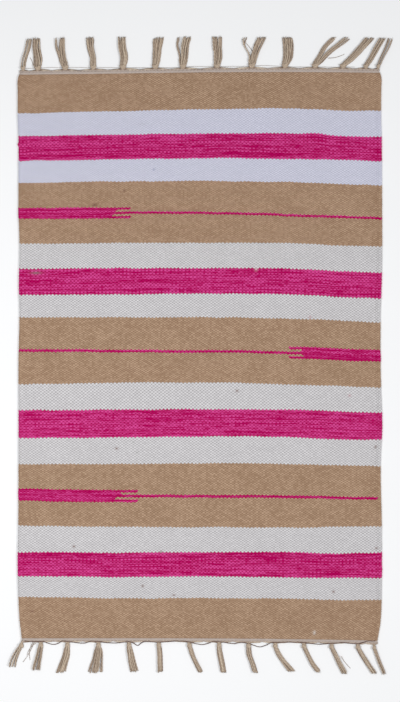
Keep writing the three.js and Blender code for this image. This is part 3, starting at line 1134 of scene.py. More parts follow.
@dataclass(frozen=True)
class StripedFinish:
    """The cloth's finish: dyed yarns by stripe, pink insets, streaks along the picks, and painted shade in
    the gaps.

    A tone runs from 0, deep, to 1, pale. Pink yarn has streaks, and a draw for each pick and each float.
    Other yarn has a draw for each float, blotches, and a little of the streaks. Each level is what a sum is
    lowered by, so that it is 0.5 on average. A block's edge wobbles over wobble picks, and ragged_draw keeps
    the draws for its ragged end apart from the others. Yarn shows over the gap colour, which is painted
    shade, by the float's height to the power dome_power. One warp near the right selvedge has a painted shade
    of a groove beside it, and fibres run through all.
    """

    streak_level: float = 2.7
    pink_streaks: float = 1.7
    pink_picks: float = 0.8
    pink_floats: float = 0.7
    pink_level: float = 1.13
    line_deepening: float = 0.3
    plain_floats: float = 0.9
    plain_streaks: float = 0.1
    plain_level: float = 0.5
    blotch_scale: float = 22.0
    ragged_draw: float = 3.0
    wobble: float = 2.0
    wobble_scale: tuple[float, float] = (0.11, 0.05)
    dome_power: float = 0.8
    # The groove beside one warp is painted shade only: the gap colour over part of the float.
    groove_warp: int = WARPS - 3
    groove_side: float = 0.3
    groove_shade: float = 0.8
    fibre_scale: tuple[float, float] = (1.4, 4.5)
    fibre_slant: float = 1.6
    fibre_shade: float = 0.22
    fibre_relief: float = 0.3
    feel: Feel = Feel(0.0007, 0.9, 0.01)

    def stripe_mask(self, pick: Wire, yarn: Yarn) -> Wire:
        """Returns 1 on the picks of the stripes of one yarn: the greatest of a comparison for each stripe."""
        counts = OUTLINE.pick_counts
        runs = [
            pick.within(int(first), int(last) - 1)
            for first, last, stripe in zip(counts, counts[1:], STRIPES)
            if stripe.yarn is yarn
        ]
        return functools.reduce(Wire.either, runs)

    def inset_masks(self, cell: Cell, t: Wire) -> tuple[Wire, Wire]:
        """Returns 1 on the thin lines and prongs of the pink insets, and 1 on their blocks.

        An inset is a pair of thin picks nearly from side to side, two such pairs that reach its prongs, and
        the picks between them up to the block's uneven edge. A line's edges are nearly level: it covers where
        the place's pick and the float's pick, weighed by LINE_LEVEL and the rest, are near it.

        Args:
            cell: the float that shows.
            t: the place's pick number.

        Returns:
            Both masks.
        """
        graph = cell.warp.graph
        pair_of_picks = (cell.pick * (1 / PAIR) + 0.25).floor()
        ragged = cell.warp + graph.chance(pair_of_picks, self.ragged_draw) * RAGGEDNESS - RAGGEDNESS / 2
        across, along = self.wobble_scale
        uneven = graph.noise(graph.vector(cell.warp * across, cell.pick * along), scale=1.0, detail=1.0)
        wobbly = cell.pick + (uneven * self.wobble - self.wobble / 2)
        line_place = t * LINE_LEVEL + cell.pick * (1 - LINE_LEVEL)
        low, high = -LINE_SPREAD, PAIR - 1 + LINE_SPREAD
        lines, blocks = [], []
        for inset in INSETS:
            side = 0 if inset.from_left else WARPS
            past_side = -RAGGEDNESS if inset.from_left else WARPS + RAGGEDNESS
            far_pair, near_pair = inset.line - PRONG_OFFSET, inset.line + PRONG_OFFSET
            line, far_prong, near_prong = (
                line_place.within(first + low, first + high) for first in (inset.line, far_pair, near_pair)
            )
            lines.append(line * cell.warp.within(*sorted((side, inset.line_end))))
            lines.append(far_prong.either(near_prong) * cell.warp.within(*sorted((side, inset.prong))))
            block_picks = wobbly.within(far_pair, near_pair + PAIR - 1)
            blocks.append(block_picks * ragged.within(*sorted((past_side, inset.block))))
        return functools.reduce(Wire.either, lines), functools.reduce(Wire.either, blocks)

    def dyed(self, shade: str, masks: dict[Yarn, Wire]) -> Wire:
        """Returns the named shade of the yarn that shows: tan, and over it each other yarn by its mask."""
        colour = getattr(Yarn.TAN.value, shade)
        for yarn, mask in masks.items():
            colour = mask.graph.mix(mask, colour, getattr(yarn.value, shade))
        return colour

    def pink_tone(self, cell: Cell, t: Wire) -> Wire:
        """Returns how pale pink yarn is: streaks along the picks, each pick's own draw and each float's."""
        graph = cell.warp.graph
        noises = []
        for streak in STREAKS:
            place = graph.vector(cell.warp * streak.across, t * streak.along, streak.layer)
            noises.append(graph.noise(place, scale=1.0, detail=1.0) * streak.weight)
        streaks = (functools.reduce(Wire.__add__, noises) - self.streak_level).limited()
        picks = graph.chance(cell.pick) * self.pink_picks
        floats = graph.chance(cell.warp, cell.pick) * self.pink_floats
        return streaks * self.pink_streaks + picks + floats - self.pink_level

    def build(self) -> bpy.types.Material:
        """Wires the material."""
        graph = Graph("striped_cotton_weave")
        s, t = graph.uv("weave")
        cell = Cell.under(graph)
        lines, blocks = self.inset_masks(cell, t)
        kinds = (Yarn.BLEACHED, Yarn.NATURAL, Yarn.PINK)
        by_pick = {yarn: self.stripe_mask(cell.pick, yarn) for yarn in kinds}
        by_place = {yarn: self.stripe_mask(t, yarn) for yarn in kinds}
        by_pick[Yarn.PINK] = by_pick[Yarn.PINK].either(lines).either(blocks)
        by_place[Yarn.PINK] = by_place[Yarn.PINK].either(lines).either(blocks)
        pink = self.pink_tone(cell, t) - lines * self.line_deepening
        blotches = graph.noise(graph.object_place(), self.blotch_scale, detail=3.0)
        plain = graph.chance(cell.warp, cell.pick) * self.plain_floats + pink * self.plain_streaks
        plain = plain + blotches - self.plain_level
        tone = plain + (pink - plain) * by_pick[Yarn.PINK]
        yarn = graph.mix(tone, self.dyed("deep", by_pick), self.dyed("pale", by_pick))

        across, along = self.fibre_scale
        fibre_place = graph.vector(s * across, t * along + cell.across * self.fibre_slant)
        fibres = graph.noise(fibre_place, scale=1.0, detail=3.0)
        dome = cell.dome()
        beside_groove = cell.warp.within(self.groove_warp, self.groove_warp)
        at_groove = beside_groove * cell.across.size().over(self.groove_side)
        # Painted shade: the gap colour fills between the floats' domes, and along the groove beside one warp.
        share = dome.power(self.dome_power) * (at_groove * -self.groove_shade + 1.0)
        woven = graph.mix(share, self.dyed("gap", by_place), yarn)
        shade = fibres * self.fibre_shade + (1 - self.fibre_shade / 2)
        shaded = graph.mix(1.0, woven, graph.vector(shade, shade, shade), "MULTIPLY")

        fleck = graph.attribute("fleck")
        stained = graph.mix(Wire(graph, fleck.outputs["Alpha"]), shaded, Wire(graph, fleck.outputs["Color"]))
        return graph.finish(stained, dome + fibres * self.fibre_relief, self.feel)


@dataclass(frozen=True)
class StripFinish:
    """The finish of the heading strips: undyed picks over the same warps, with painted shade in the gaps.

    The tone is each float's own draw and soft blotches, which are sharpened and lowered.
    """

    float_weight: float = 0.3
    blotch_weight: float = 0.7
    blotch_scale: float = 70.0
    blotch_contrast: float = 2.4
    blotch_level: float = 0.9
    dome_power: float = 0.5
    fibre_scale: float = 2500.0
    fibre_relief: float = 0.3
    feel: Feel = Feel(0.0005, 0.9, 0.08)

    def build(self) -> bpy.types.Material:
        """Wires the material."""
        graph = Graph("undyed_cotton_weave")
        cell = Cell.under(graph)
        dye = Yarn.UNDYED.value
        place = graph.object_place()
        blotches = graph.noise(place, self.blotch_scale, detail=3.0)
        blotches = (blotches * self.blotch_contrast - self.blotch_level) * self.blotch_weight
        tone = graph.chance(cell.warp, cell.pick) * self.float_weight + blotches
        yarn = graph.mix(tone, dye.deep, dye.pale)
        # Painted shade: the gap colour shows where the floats dive.
        woven = graph.mix(cell.dome().power(self.dome_power), dye.gap, yarn)
        fibres = graph.noise(place, self.fibre_scale, detail=2.0)
        return graph.finish(woven, cell.dome() + fibres * self.fibre_relief, self.feel)


@dataclass(frozen=True)
class YarnFinish:
    """The finish of loose yarn: two base colours, each strand's tone with its painted shade, and painted
    shade in the grooves between its plies.

    Green and blue fall a little faster than red where the painted shade darkens the yarn, so its grooves are
    warm: they are raised to the powers in warmth.
    """

    name: str
    pale: tuple[float, float, float]
    deep: tuple[float, float, float]
    ply_shade: float = 0.35
    mottle_scale: float = 160.0
    mottle_weight: float = 0.7
    fibre_scale: float = 2600.0
    fibre_weight: float = 0.3
    fibre_relief: float = 0.5
    warmth: tuple[float, float] = (1.16, 1.18)
    feel: Feel = Feel(0.0002, 0.9, 0.12)

    def build(self) -> bpy.types.Material:
        """Wires the material."""
        graph = Graph(self.name)
        place = graph.object_place()
        mottle = graph.noise(place, self.mottle_scale, detail=3.0)
        fibres = graph.noise(place, self.fibre_scale, detail=2.0)
        yarn = graph.mix(mottle * self.mottle_weight + fibres * self.fibre_weight, self.deep, self.pale)
        tone = Wire(graph, graph.attribute("tone").outputs["Fac"])
        ply = Wire(graph, graph.attribute("ply").outputs["Fac"])
        # Painted shade: the tone attribute's shade, and darker in the grooves between the plies.
        shade = tone * (ply * self.ply_shade + (1.0 - self.ply_shade))
        green, blue = (shade.power(warmth) for warmth in self.warmth)
        shaded = graph.mix(1.0, yarn, graph.vector(shade, green, blue), "MULTIPLY")
        return graph.finish(shaded, ply + fibres * self.fibre_relief, self.feel)


CORD_COTTON = YarnFinish("undyed_cotton_cord", (0.740, 0.645, 0.570), (0.570, 0.485, 0.420))
YARN_COTTON = YarnFinish("undyed_cotton_yarn", (0.660, 0.550, 0.430), (0.500, 0.395, 0.295))
BROWN_THREAD = YarnFinish("brown_cotton_thread", (0.200, 0.120, 0.095), (0.110, 0.055, 0.040))
GREY_THREAD = YarnFinish("grey_cotton_thread", (0.400, 0.350, 0.320), (0.280, 0.230, 0.210))


def smooth_paths(points: np.ndarray, steps: int) -> np.ndarray:
    """Runs a smooth curve through each path's points.

    Between two points it is the cubic that leaves and arrives along the chords between their neighbours.

    Args:
        points: paths by points by 3.
        steps: pieces to each stretch between two points.

    Returns:
        Paths by the new points by 3.
    """
    before = np.concatenate([2 * points[:, :1] - points[:, 1:2], points[:, :-1]], 1)
    after = np.concatenate([points[:, 1:], 2 * points[:, -1:] - points[:, -2:-1]], 1)
    slope = (after - before) / 2
    u = (np.arange(steps) / steps)[None, None, :, None]
    start, end = points[:, :-1, None], points[:, 1:, None]
    curve = cubic(start, end, slope[:, :-1, None], slope[:, 1:, None], u)
    return np.concatenate([curve.reshape(len(points), -1, 3), points[:, -1:]], 1)


# Added to a direction across a path, which would have no length where the path starts straight up
NUDGE = (1e-6, 0.0, 0.0)


@dataclass
class YarnMesh:
    """Plied yarns carried along paths, all in one mesh.

    The section is round with a lobe for each ply, and turns once in each pitch along the path. Each end is
    closed by a point. A point sees no sky below the first slope in sky, and all of it above the second.
    """

    sides: int = 8
    plies: int = 2
    pitch: float = 12.0
    lobe: float = 0.15
    sky: tuple[float, float] = (-0.2, 0.8)

    def frames(self, paths: np.ndarray) -> tuple[np.ndarray, np.ndarray]:
        """Returns two directions across each path, carried along it without turning about it."""
        ahead = np.gradient(paths, axis=1)
        ahead /= np.linalg.norm(ahead, axis=2, keepdims=True)
        across = np.cross(ahead[:, 0], (0.0, 0.0, 1.0)) + NUDGE
        carried = []
        for ring in range(paths.shape[1]):
            across = across - ahead[:, ring] * np.sum(across * ahead[:, ring], 1, keepdims=True)
            across = across / np.linalg.norm(across, axis=1, keepdims=True)
            carried.append(across)
        first = np.stack(carried, 1)
        return first, np.cross(first, ahead)

    def build(
        self, paths: np.ndarray, radii: np.ndarray, starts: np.ndarray
    ) -> tuple[np.ndarray, list, np.ndarray, np.ndarray]:
        """Carries the section along each path.

        Args:
            paths: yarns by rings by 3.
            radii: yarns by rings.
            starts: the angle at which each yarn's twist starts.

        Returns:
            The points, the faces, how much each point is on a ply's crest, and how much it faces up, from 0
            to 1.
        """
        yarns, rings = paths.shape[:2]
        first, second = self.frames(paths)
        length = np.cumsum(np.linalg.norm(np.diff(paths, axis=1, prepend=paths[:, :1]), axis=2), 1)
        angle = np.arange(self.sides) * 2 * np.pi / self.sides
        twist = starts[:, None] + length * 2 * np.pi / self.pitch
        crest = np.cos(self.plies * (angle[None, None, :] - twist[:, :, None]))
        radius = radii[:, :, None] * (1 + self.lobe * crest)
        skin = (
            paths[:, :, None]
            + first[:, :, None] * (radius * np.cos(angle))[..., None]
            + second[:, :, None] * (radius * np.sin(angle))[..., None]
        )
        upward = first[:, :, None, 2] * np.cos(angle) + second[:, :, None, 2] * np.sin(angle)
        open_sky = np.concatenate([smoothstep(upward, *self.sky).reshape(yarns, -1), np.ones((yarns, 2))], 1)
        caps = paths[:, [0, -1]]
        points = np.concatenate([skin.reshape(yarns, -1, 3), caps], 1).reshape(-1, 3)
        bright = np.concatenate([(crest.reshape(yarns, -1) + 1) / 2, np.full((yarns, 2), 0.5)], 1).ravel()

        per_yarn = rings * self.sides + 2
        here = np.arange(rings - 1)[:, None] * self.sides + np.arange(self.sides)
        beside = np.arange(rings - 1)[:, None] * self.sides + np.roll(np.arange(self.sides), -1)
        walls = np.stack([here, here + self.sides, beside + self.sides, beside], -1).reshape(-1, 4)
        k = np.arange(self.sides)
        last = (rings - 1) * self.sides
        foot = np.stack([k, np.roll(k, -1), np.full(self.sides, per_yarn - 2)], -1)
        tip = np.stack([last + np.roll(k, -1), last + k, np.full(self.sides, per_yarn - 1)], -1)
        offsets = np.arange(yarns) * per_yarn
        quads = (walls[None] + offsets[:, None, None]).reshape(-1, 4)
        ends = (np.concatenate([foot, tip])[None] + offsets[:, None, None]).reshape(-1, 3)
        return points, [*quads.tolist(), *ends.tolist()], bright, open_sky.ravel()


@dataclass
class Lay:
    """Yarns laid along paths: the mesh maker, yarns by rings by 3, and the radius and tone of each ring."""

    maker: YarnMesh
    paths: np.ndarray
    radii: np.ndarray
    tones: np.ndarray


def make_yarns(
    name: str, lays: Sequence[Lay], finish: bpy.types.Material, rng: np.random.Generator
) -> bpy.types.Object:
    """Makes one piece of several lays of yarn.

    Args:
        name: the piece's name.
        lays: the yarns.
        finish: the material.
        rng: where the start of each twist comes from.

    Returns:
        The piece.
    """
    points, faces, plies, tones = [], [], [], []
    count = 0
    for lay in lays:
        starts = rng.uniform(0, 2 * np.pi, len(lay.paths))
        part, part_faces, bright, open_sky = lay.maker.build(lay.paths, lay.radii, starts)
        points.append(part)
        faces += [[count + k for k in face] for face in part_faces]
        plies.append(bright)
        ring_tones = np.broadcast_to(lay.tones, lay.radii.shape)
        skin_tones = np.repeat(ring_tones, lay.maker.sides, 1)
        yarn_tones = np.concatenate([skin_tones, ring_tones[:, [0, -1]]], 1).ravel()
        # Painted shade: each point darkens by BELOW_SHADE as it turns away from the sky.
        tones.append(yarn_tones * (1 - BELOW_SHADE + BELOW_SHADE * open_sky))
        count += len(part)
    points = np.concatenate(points)
    points[:, 2] = np.maximum(points[:, 2], 0)
    piece = make_piece(name, points, faces)
    add_number(piece, "ply", np.concatenate(plies))
    add_number(piece, "tone", np.concatenate(tones))
    piece.data.materials.append(finish)
    return piece


@dataclass(frozen=True)
class Wander:
    """A slow random movement along a row of points: how far it goes, and the points to each random value."""

    reach: float
    step: float

    def along(self, count: int, rng: np.random.Generator) -> np.ndarray:
        """Returns the movement at each point."""
        return self.reach * drift(1, count, 1, self.step, rng)[0]


# The shares of a tassel's reach at which its strands have points, and those at which its lean is given
SHARES = np.array([0.085, 0.17, 0.30, 0.45, 0.60, 0.75, 0.89, 1.0])
LEAN_STATIONS = (0, 1 / 3, 2 / 3, 1)

# The rows of a bundle, from the floor up: the share of the strands (the top has the rest), the half width
# against the bundle's, and the tone, a painted shade that darkens the lower rows
ROW_SHARES = (0.45, 0.33)
ROW_WIDTHS = (1.0, 0.78, 0.40)
ROW_PAINTED_SHADES = (0.84, 0.98, 1.05)


@dataclass
class Tassel:
    """A knotted tassel of warp ends, which run along the heading into its knot and fan out from there.

    A strand starts inside the heading, leaves it and closes in on the knot. For these three places, the outs
    are distances past the edge where the warps leave, and the heights are above the floor, with up to rise
    added. By the second place it has gone the share gathered of its way to the knot's middle, and at the
    third the share left remains. In the knot, rows are row_height apart from knot_floor up, and the outer
    strands are knot_inset from its side, and fan_inset just past it.

    Past the knot the strands are spread over the bundle's width, fully from fan_growth on. They stray, up
    to most_stray half widths from the middle. Rows sink to the share least_sinking as the bundle widens past
    sinking_width. fork_growth is where a fork starts and ends, and uneven_reach how much shorter a strand
    may be. A strand thins by tip_thinning from tip_start on.
    """

    name: str
    plan: TasselPlan
    heading: Heading
    side: int
    seed: int
    start_out: float = -2.6
    start_height: float = 1.3
    leaving_out: float = -0.4
    leaving_height: float = 1.2
    leaving_rise: float = 0.3
    gathered: float = 0.12
    closing_out: float = 0.3
    closing_height: float = 1.3
    closing_rise: float = 0.5
    left: float = 0.16
    edge_wave: Wave = Wave(0.35, 9.0, 23.0)
    knot_margin: float = 0.6
    knot_floor: float = 1.5
    row_height: float = 0.95
    knot_inset: float = 1.9
    fan_inset: float = 1.4
    fan_growth: tuple[float, float] = (0, 0.2)
    stray: float = 0.14
    stray_step: float = 0.5
    most_stray: float = 1.12
    fork_growth: tuple[float, float] = (0.25, 0.9)
    uneven_reach: float = 0.08
    row_pitch: float = 1.6
    sinking_start: float = 1.2
    sinking_width: float = 6.0
    sinking_span: float = 22.0
    least_sinking: float = 0.35
    strand_steps: int = 3
    strand_radii: tuple[float, float] = (0.85, 1.12)
    tip_thinning: float = 0.25
    tip_start: float = 0.93
    hank_wave: float = 0.14
    hank_width: float = 3.4
    strand_tones: tuple[float, float] = (0.87, 1.11)
    # Painted shade at both sides of the knot's neck: beside the root from flank_start to flank_end, along the
    # strand by the bulge.
    flank_start: tuple[float, float] = (1.2, 3.2)
    flank_end: tuple[float, float] = (5.5, 9.0)
    neck_shade: Bulge = Bulge(-3.6, 1.9, 0.50)
    edge_start: tuple[float, float] = (6.0, 11.0)
    edge_end: tuple[float, float] = (-4.5, -1.5)
    edge_paleness: float = 0.35
    wrap_span: tuple[float, float] = (-0.3, 1.25)
    wrap_points: int = 30
    wrap_pitch: float = 1.55
    wrap_slant: float = 0.9
    wrap_middle: float = 0.95
    last_wrap: float = 0.95
    # The knot's wraps are painted paler by this factor: a painted highlight on the raised knot.
    wrap_highlight: float = 1.08

    @property
    def knot_width(self) -> float:
        """The knot's width: the waist's and a little more, up to the usual width."""
        return min(self.heading.knot_width, self.plan.waist + self.knot_margin)

    @property
    def knot_place(self) -> float:
        """How far along the rug the knot's middle is."""
        out = HEADING_WIDTH + 2 * PIECE_GAP + KNOT_LENGTH / 2 + self.heading.knot_shift
        return OUTLINE.beyond(np.array([self.plan.root]), self.side, out)[0]

    def packing(self, count: int) -> tuple[np.ndarray, np.ndarray]:
        """Packs a bundle's section in three rows, the widest on the floor.

        Args:
            count: how many strands there are.

        Returns:
            Each strand's place across, from -1 to 1 and rising, and its row from 0 to 2.
        """
        numbers = [math.ceil(share * count) for share in ROW_SHARES]
        numbers.append(count - sum(numbers))
        lanes = [
            np.linspace(-width, width, number) if number > 1 else np.zeros(number)
            for number, width in zip(numbers, ROW_WIDTHS)
        ]
        lanes, rows = np.concatenate(lanes), np.repeat(np.arange(len(numbers)), numbers)
        order = np.argsort(lanes, kind="stable")
        return lanes[order], rows[order]

    def into_knot(
        self, warps: np.ndarray, lanes: np.ndarray, level: np.ndarray, rng: np.random.Generator
    ) -> list[np.ndarray]:
        """Leads each strand from its warp into the knot.

        Args:
            warps: the places of the tassel's warps.
            lanes: each strand's place across the bundle, from -1 to 1.
            level: each strand's height in the knot.
            rng: where its unevenness comes from.

        Returns:
            Each strand's points inside the heading, where it leaves it, where it closes in, and in the knot.
        """
        count, root = len(warps), self.plan.root
        swell = bulged(warps, self.heading.edge_bulges) + self.edge_wave.at(warps, warps)
        edge = OUTLINE.beyond(warps, self.side, self.heading.edge + swell)
        away = root - warps
        inside = [warps, edge + self.side * self.start_out, np.full(count, self.start_height)]
        leaving_height = self.leaving_height + self.leaving_rise * rng.random(count)
        leaving = [warps + self.gathered * away, edge + self.side * self.leaving_out, leaving_height]
        closing_height = self.closing_height + self.closing_rise * rng.random(count)
        closing_place = edge + self.side * (self.closing_out + self.heading.tent)
        closing = [root - self.left * away, closing_place, closing_height]
        lane_width = self.knot_width / 2 - self.knot_inset
        in_knot = [root + lanes * lane_width, np.full(count, self.knot_place), level]
        return [np.stack(place, -1) for place in (inside, leaving, closing, in_knot)]

    def strands(
        self, warps: np.ndarray, rng: np.random.Generator
    ) -> tuple[np.ndarray, np.ndarray, np.ndarray]:
        """Lays out the tassel's strands, one for each warp of the cloth.

        A strand comes out of the heading at its warp, runs along the edge into the knot, and fans out from
        there: across the bundle by its lane, along it by its share of the reach, and up by its row, which
        sinks as the bundle widens.

        Args:
            warps: the places of its warps.
            rng: where its unevenness comes from.

        Returns:
            Strands by points by 3, and each strand's lane and row.
        """
        plan, count = self.plan, len(warps)
        lanes, rows = self.packing(count)
        level = self.knot_floor + self.row_height * rows
        gathered = np.stack(self.into_knot(warps, lanes, level, rng), 1)

        lean = smooth_through(SHARES, LEAN_STATIONS, np.array([0, plan.near, plan.far, plan.tip]))
        bundle = plan.waist + (plan.spread - plan.waist) * SHARES
        grown = smoothstep(SHARES, *self.fan_growth)
        half = (self.knot_width / 2 - self.fan_inset) * (1 - grown) + (bundle / 2 - YARN_RADIUS) * grown
        stray = self.stray * np.cumsum(rng.normal(0, self.stray_step, (count, len(SHARES))), 1)
        where = np.clip(lanes[:, None] + stray, -self.most_stray, self.most_stray)
        lane = (lanes + 1) / 2
        stands = (lane > plan.part) if plan.fork > 0 else (lane < plan.part)
        fork = np.where(stands, plan.fork, 0)[:, None] * smoothstep(SHARES, *self.fork_growth)
        x = plan.root + lean + where * half + fork
        reach = (plan.reach - self.heading.knot_shift) * (1 - self.uneven_reach * rng.random(count))
        y = self.knot_place + self.side * reach[:, None] * SHARES
        sinking = self.sinking_start - (bundle - self.sinking_width) / self.sinking_span
        sinking = np.clip(sinking, self.least_sinking, 1)
        z = YARN_RADIUS + self.row_pitch * YARN_RADIUS * rows[:, None] * sinking
        z[:, 0] = (z[:, 0] + level) / 2
        return np.concatenate([gathered, np.stack([x, y, z], -1)], 1), lanes, rows

    def wraps(self) -> np.ndarray:
        """Winds the knot: three yarns side by side on a slanting turn about the bundle, level on the floor.

        The turns narrow towards the heading.
        """
        turn = np.linspace(*self.wrap_span, self.wrap_points) * 2 * np.pi
        half_width = self.knot_width / 2 - YARN_RADIUS
        half_height = KNOT_HEIGHT / 2 - YARN_RADIUS
        taper = self.heading.knot_taper
        loops = []
        for number, swell in ((-1, taper), (0, (1 + taper) / 2), (1, self.last_wrap)):
            x = self.plan.root + half_width * swell * np.cos(turn)
            z = KNOT_HEIGHT / 2 + half_height * swell * np.sin(turn)
            slant = self.wrap_slant * (turn / np.pi - self.wrap_middle)
            y = self.knot_place + self.side * (self.wrap_pitch * number + slant)
            loops.append(np.stack([x, y, np.maximum(z, YARN_RADIUS)], -1))
        return np.stack(loops)

    def tones(
        self, strands: np.ndarray, lanes: np.ndarray, rows: np.ndarray, rng: np.random.Generator
    ) -> np.ndarray:
        """Works out how pale each strand is along its way.

        Low rows are darker by painted shade, hanks of strands are paler and darker in turn, and each strand
        has its own tone.
        Painted shade darkens both sides of the knot's neck, and the warps are paler along the edge.

        Args:
            strands: strands by rings by 3.
            lanes: each strand's place across the bundle.
            rows: each strand's row.
            rng: where the hanks start, and where each strand's own tone comes from.

        Returns:
            A tone for each strand and ring.
        """
        hank_start = rng.uniform(0, 2 * np.pi)
        hanks = 1 + self.hank_wave * np.cos(np.pi * lanes * self.plan.waist / self.hank_width + hank_start)
        row_shades = self.heading.yarn_tone * np.array(ROW_PAINTED_SHADES)
        tones = (row_shades[rows] * hanks * rng.uniform(*self.strand_tones, len(rows)))[:, None]
        from_knot = (strands[..., 1] - self.knot_place) * self.side
        beside = np.abs(strands[..., 0] - self.plan.root)
        flank = smoothstep(beside, *self.flank_start) * (1 - smoothstep(beside, *self.flank_end))
        at_edge = smoothstep(beside, *self.edge_start) * (1 - smoothstep(from_knot, *self.edge_end))
        # Painted shade at the knot's neck
        tones = tones * (1 - flank * self.neck_shade.at(from_knot))
        return tones * (1 + self.edge_paleness * at_edge)

    def build(self, warps: np.ndarray, finish: bpy.types.Material) -> bpy.types.Object:
        """Ties the tassel.

        Args:
            warps: the places of its warps.
            finish: the yarn's material.

        Returns:
            The tassel, which stands for its CAD node.
        """
        rng = np.random.default_rng(self.seed)
        points, lanes, rows = self.strands(warps, rng)
        strands = smooth_paths(points, self.strand_steps)
        ring = np.linspace(0, 1, strands.shape[1])
        thinning = 1 - self.tip_thinning * smoothstep(ring, self.tip_start, 1.0)
        radii = YARN_RADIUS * thinning * rng.uniform(*self.strand_radii, (len(strands), 1))
        tones = self.tones(strands, lanes, rows, rng)
        wraps = self.wraps()
        wrap_radii = np.full(wraps.shape[:2], YARN_RADIUS)
        lays = [
            Lay(YarnMesh(), strands, radii, tones),
            Lay(YarnMesh(), wraps, wrap_radii, np.full((1, 1), self.wrap_highlight)),
        ]
        end, number = self.name.split("_")
        piece = make_yarns(f"{end}_tassel_{number}", lays, finish, rng)
        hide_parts(f"tassel_{self.name}")
        return piece


# Points along a heading's cord and threads to each warp
POINTS_PER_WARP = 4


@dataclass
class RugEnd:
    """One end of the rug: its heading strip, its edge cord and slack thread, its tassels and its loose ends.

    The strip's section is an arch: half a sine wave from the share arch_start, over arch_span, high by
    arch_height of the strip's thickness. The cord's two yarns wind round a line at cord_height, apart by a
    share of their radius. A loose end starts up on the heading, falls to the floor over its first part, and
    thins towards its tip.
    """

    name: str
    side: int
    plans: Sequence[TasselPlan]
    heading: Heading
    strays: Sequence[Stray]
    strip_finish: bpy.types.Material
    cord_finish: bpy.types.Material
    yarn_finish: bpy.types.Material
    thread_finish: bpy.types.Material
    seed: int
    arch_start: float = 0.15
    arch_span: float = 0.7
    arch_height: float = 0.18
    strip_unevenness: float = 0.25
    strip_steps: tuple[int, int] = (3, 6)
    strip_rims: tuple[Rim, ...] = (Rim(0.4, 0.5), Rim(0.1, 0.0))
    cord_overhang: float = 0.5
    cord_height: float = 1.7
    cord_apart: float = 0.8
    cord_tones: tuple[float, float] = (1.0, 0.92)
    cord_wander: Wander = Wander(0.3, 30)
    thread_wanders: tuple[Wander, ...] = (Wander(0.25, 14), Wander(0.15, 5))
    thread_rise: Wander = Wander(0.3, 12)
    thread_pitch: float = 5.0
    stray_points: int = 24
    stray_radius: float = 0.42
    stray_thinning: float = 0.15
    stray_height: float = 0.45
    stray_rise: float = 2.2
    stray_fall: tuple[float, float] = (0, 0.3)
    stray_pitch: float = 4.0
    stray_tone: float = 0.8

    def out(self, x: np.ndarray, distance: np.ndarray) -> np.ndarray:
        """Returns how far along the rug a distance out from the cloth's end is, at places x across it."""
        return OUTLINE.beyond(x, self.side, distance)

    def warp_places(self) -> np.ndarray:
        """Returns where the warps come out of the cloth's end."""
        return OUTLINE.warp_places(np.full(1, self.side * abs(FAR_EDGE[2])))

    def strip(self) -> bpy.types.Object:
        """Weaves the heading strip: a few undyed picks over every warp."""
        rng = np.random.default_rng(self.seed)
        x = np.tile(self.warp_places(), (STRIP_PICKS + 1, 1))
        share = np.linspace(0, 1, STRIP_PICKS + 1)[:, None]
        width = self.heading.strip - STRIP_START
        y = self.out(x, STRIP_START + width * (1 - share if self.side == FAR else share))
        warp, pick = np.meshgrid(np.arange(WARPS), np.arange(STRIP_PICKS + 1))
        crest = np.where((warp + pick) % 2 == 0, 1.0, -1.0)
        arch = np.sin(np.pi * (self.arch_start + self.arch_span * share))
        z = STRIP_THICKNESS * (1 - self.arch_height + self.arch_height * arch)
        z = z + Yarn.UNDYED.value.relief * crest
        z = z + self.strip_unevenness * drift(*z.shape, *self.strip_steps, rng)
        crossings = np.stack([x, y, z], -1)
        weave = np.stack([warp, pick], -1).astype(float)
        turns = np.zeros((len(z), 2))
        slab = WovenSlab(crossings, weave, turns, self.strip_rims, under_rows=2, under_columns=60)
        points, faces, places = slab.build()
        strip = make_piece(f"{self.name}_heading_strip", points, faces)
        add_map(strip, "weave", places)
        strip.data.materials.append(self.strip_finish)
        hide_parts(f"heading_{self.name}")
        return strip

    def cord(self) -> bpy.types.Object:
        """Twines two undyed yarns along the outside of the strip, a half turn to each warp."""
        rng = np.random.default_rng(self.seed + 1)
        first, *_, last = self.warp_places()
        x = np.linspace(first - self.cord_overhang, last + self.cord_overhang, POINTS_PER_WARP * WARPS)
        turn = np.arange(len(x)) * np.pi / POINTS_PER_WARP
        y = self.out(x, self.heading.cord + self.cord_wander.along(len(x), rng))
        paths = []
        for way in (1, -1):
            apart = way * (self.cord_apart * self.heading.cord_radius)
            paths.append(np.stack([x, y + apart * np.cos(turn), self.cord_height + apart * np.sin(turn)], -1))
        radii = np.full((2, len(x)), self.heading.cord_radius)
        lay = Lay(YarnMesh(sides=6), np.stack(paths), radii, np.array(self.cord_tones)[:, None])
        return make_yarns(f"{self.name}_edge_cord", [lay], self.cord_finish, rng)

    def thread(self) -> bpy.types.Object:
        """Runs the slack threads through their places along the heading, with a small wander of their own."""
        rng = np.random.default_rng(self.seed + 2)
        lays = []
        for thread in self.heading.threads:
            across = [place.across for place in thread.places]
            x = np.linspace(across[0], across[-1], POINTS_PER_WARP * WARPS)
            stops = np.array([[place.out, place.height] for place in thread.places]).T
            route = smooth_through(x, across, stops)
            y = self.out(x, route[0] + sum(wander.along(len(x), rng) for wander in self.thread_wanders))
            z = np.maximum(route[1] + self.thread_rise.along(len(x), rng), thread.radius)
            radii = np.full((1, len(x)), thread.radius)
            path = np.stack([x, y, z], -1)[None]
            maker = YarnMesh(sides=6, pitch=self.thread_pitch)
            lays.append(Lay(maker, path, radii, np.full((1, 1), thread.tone)))
        return make_yarns(f"{self.name}_slack_thread", lays, self.thread_finish, rng)

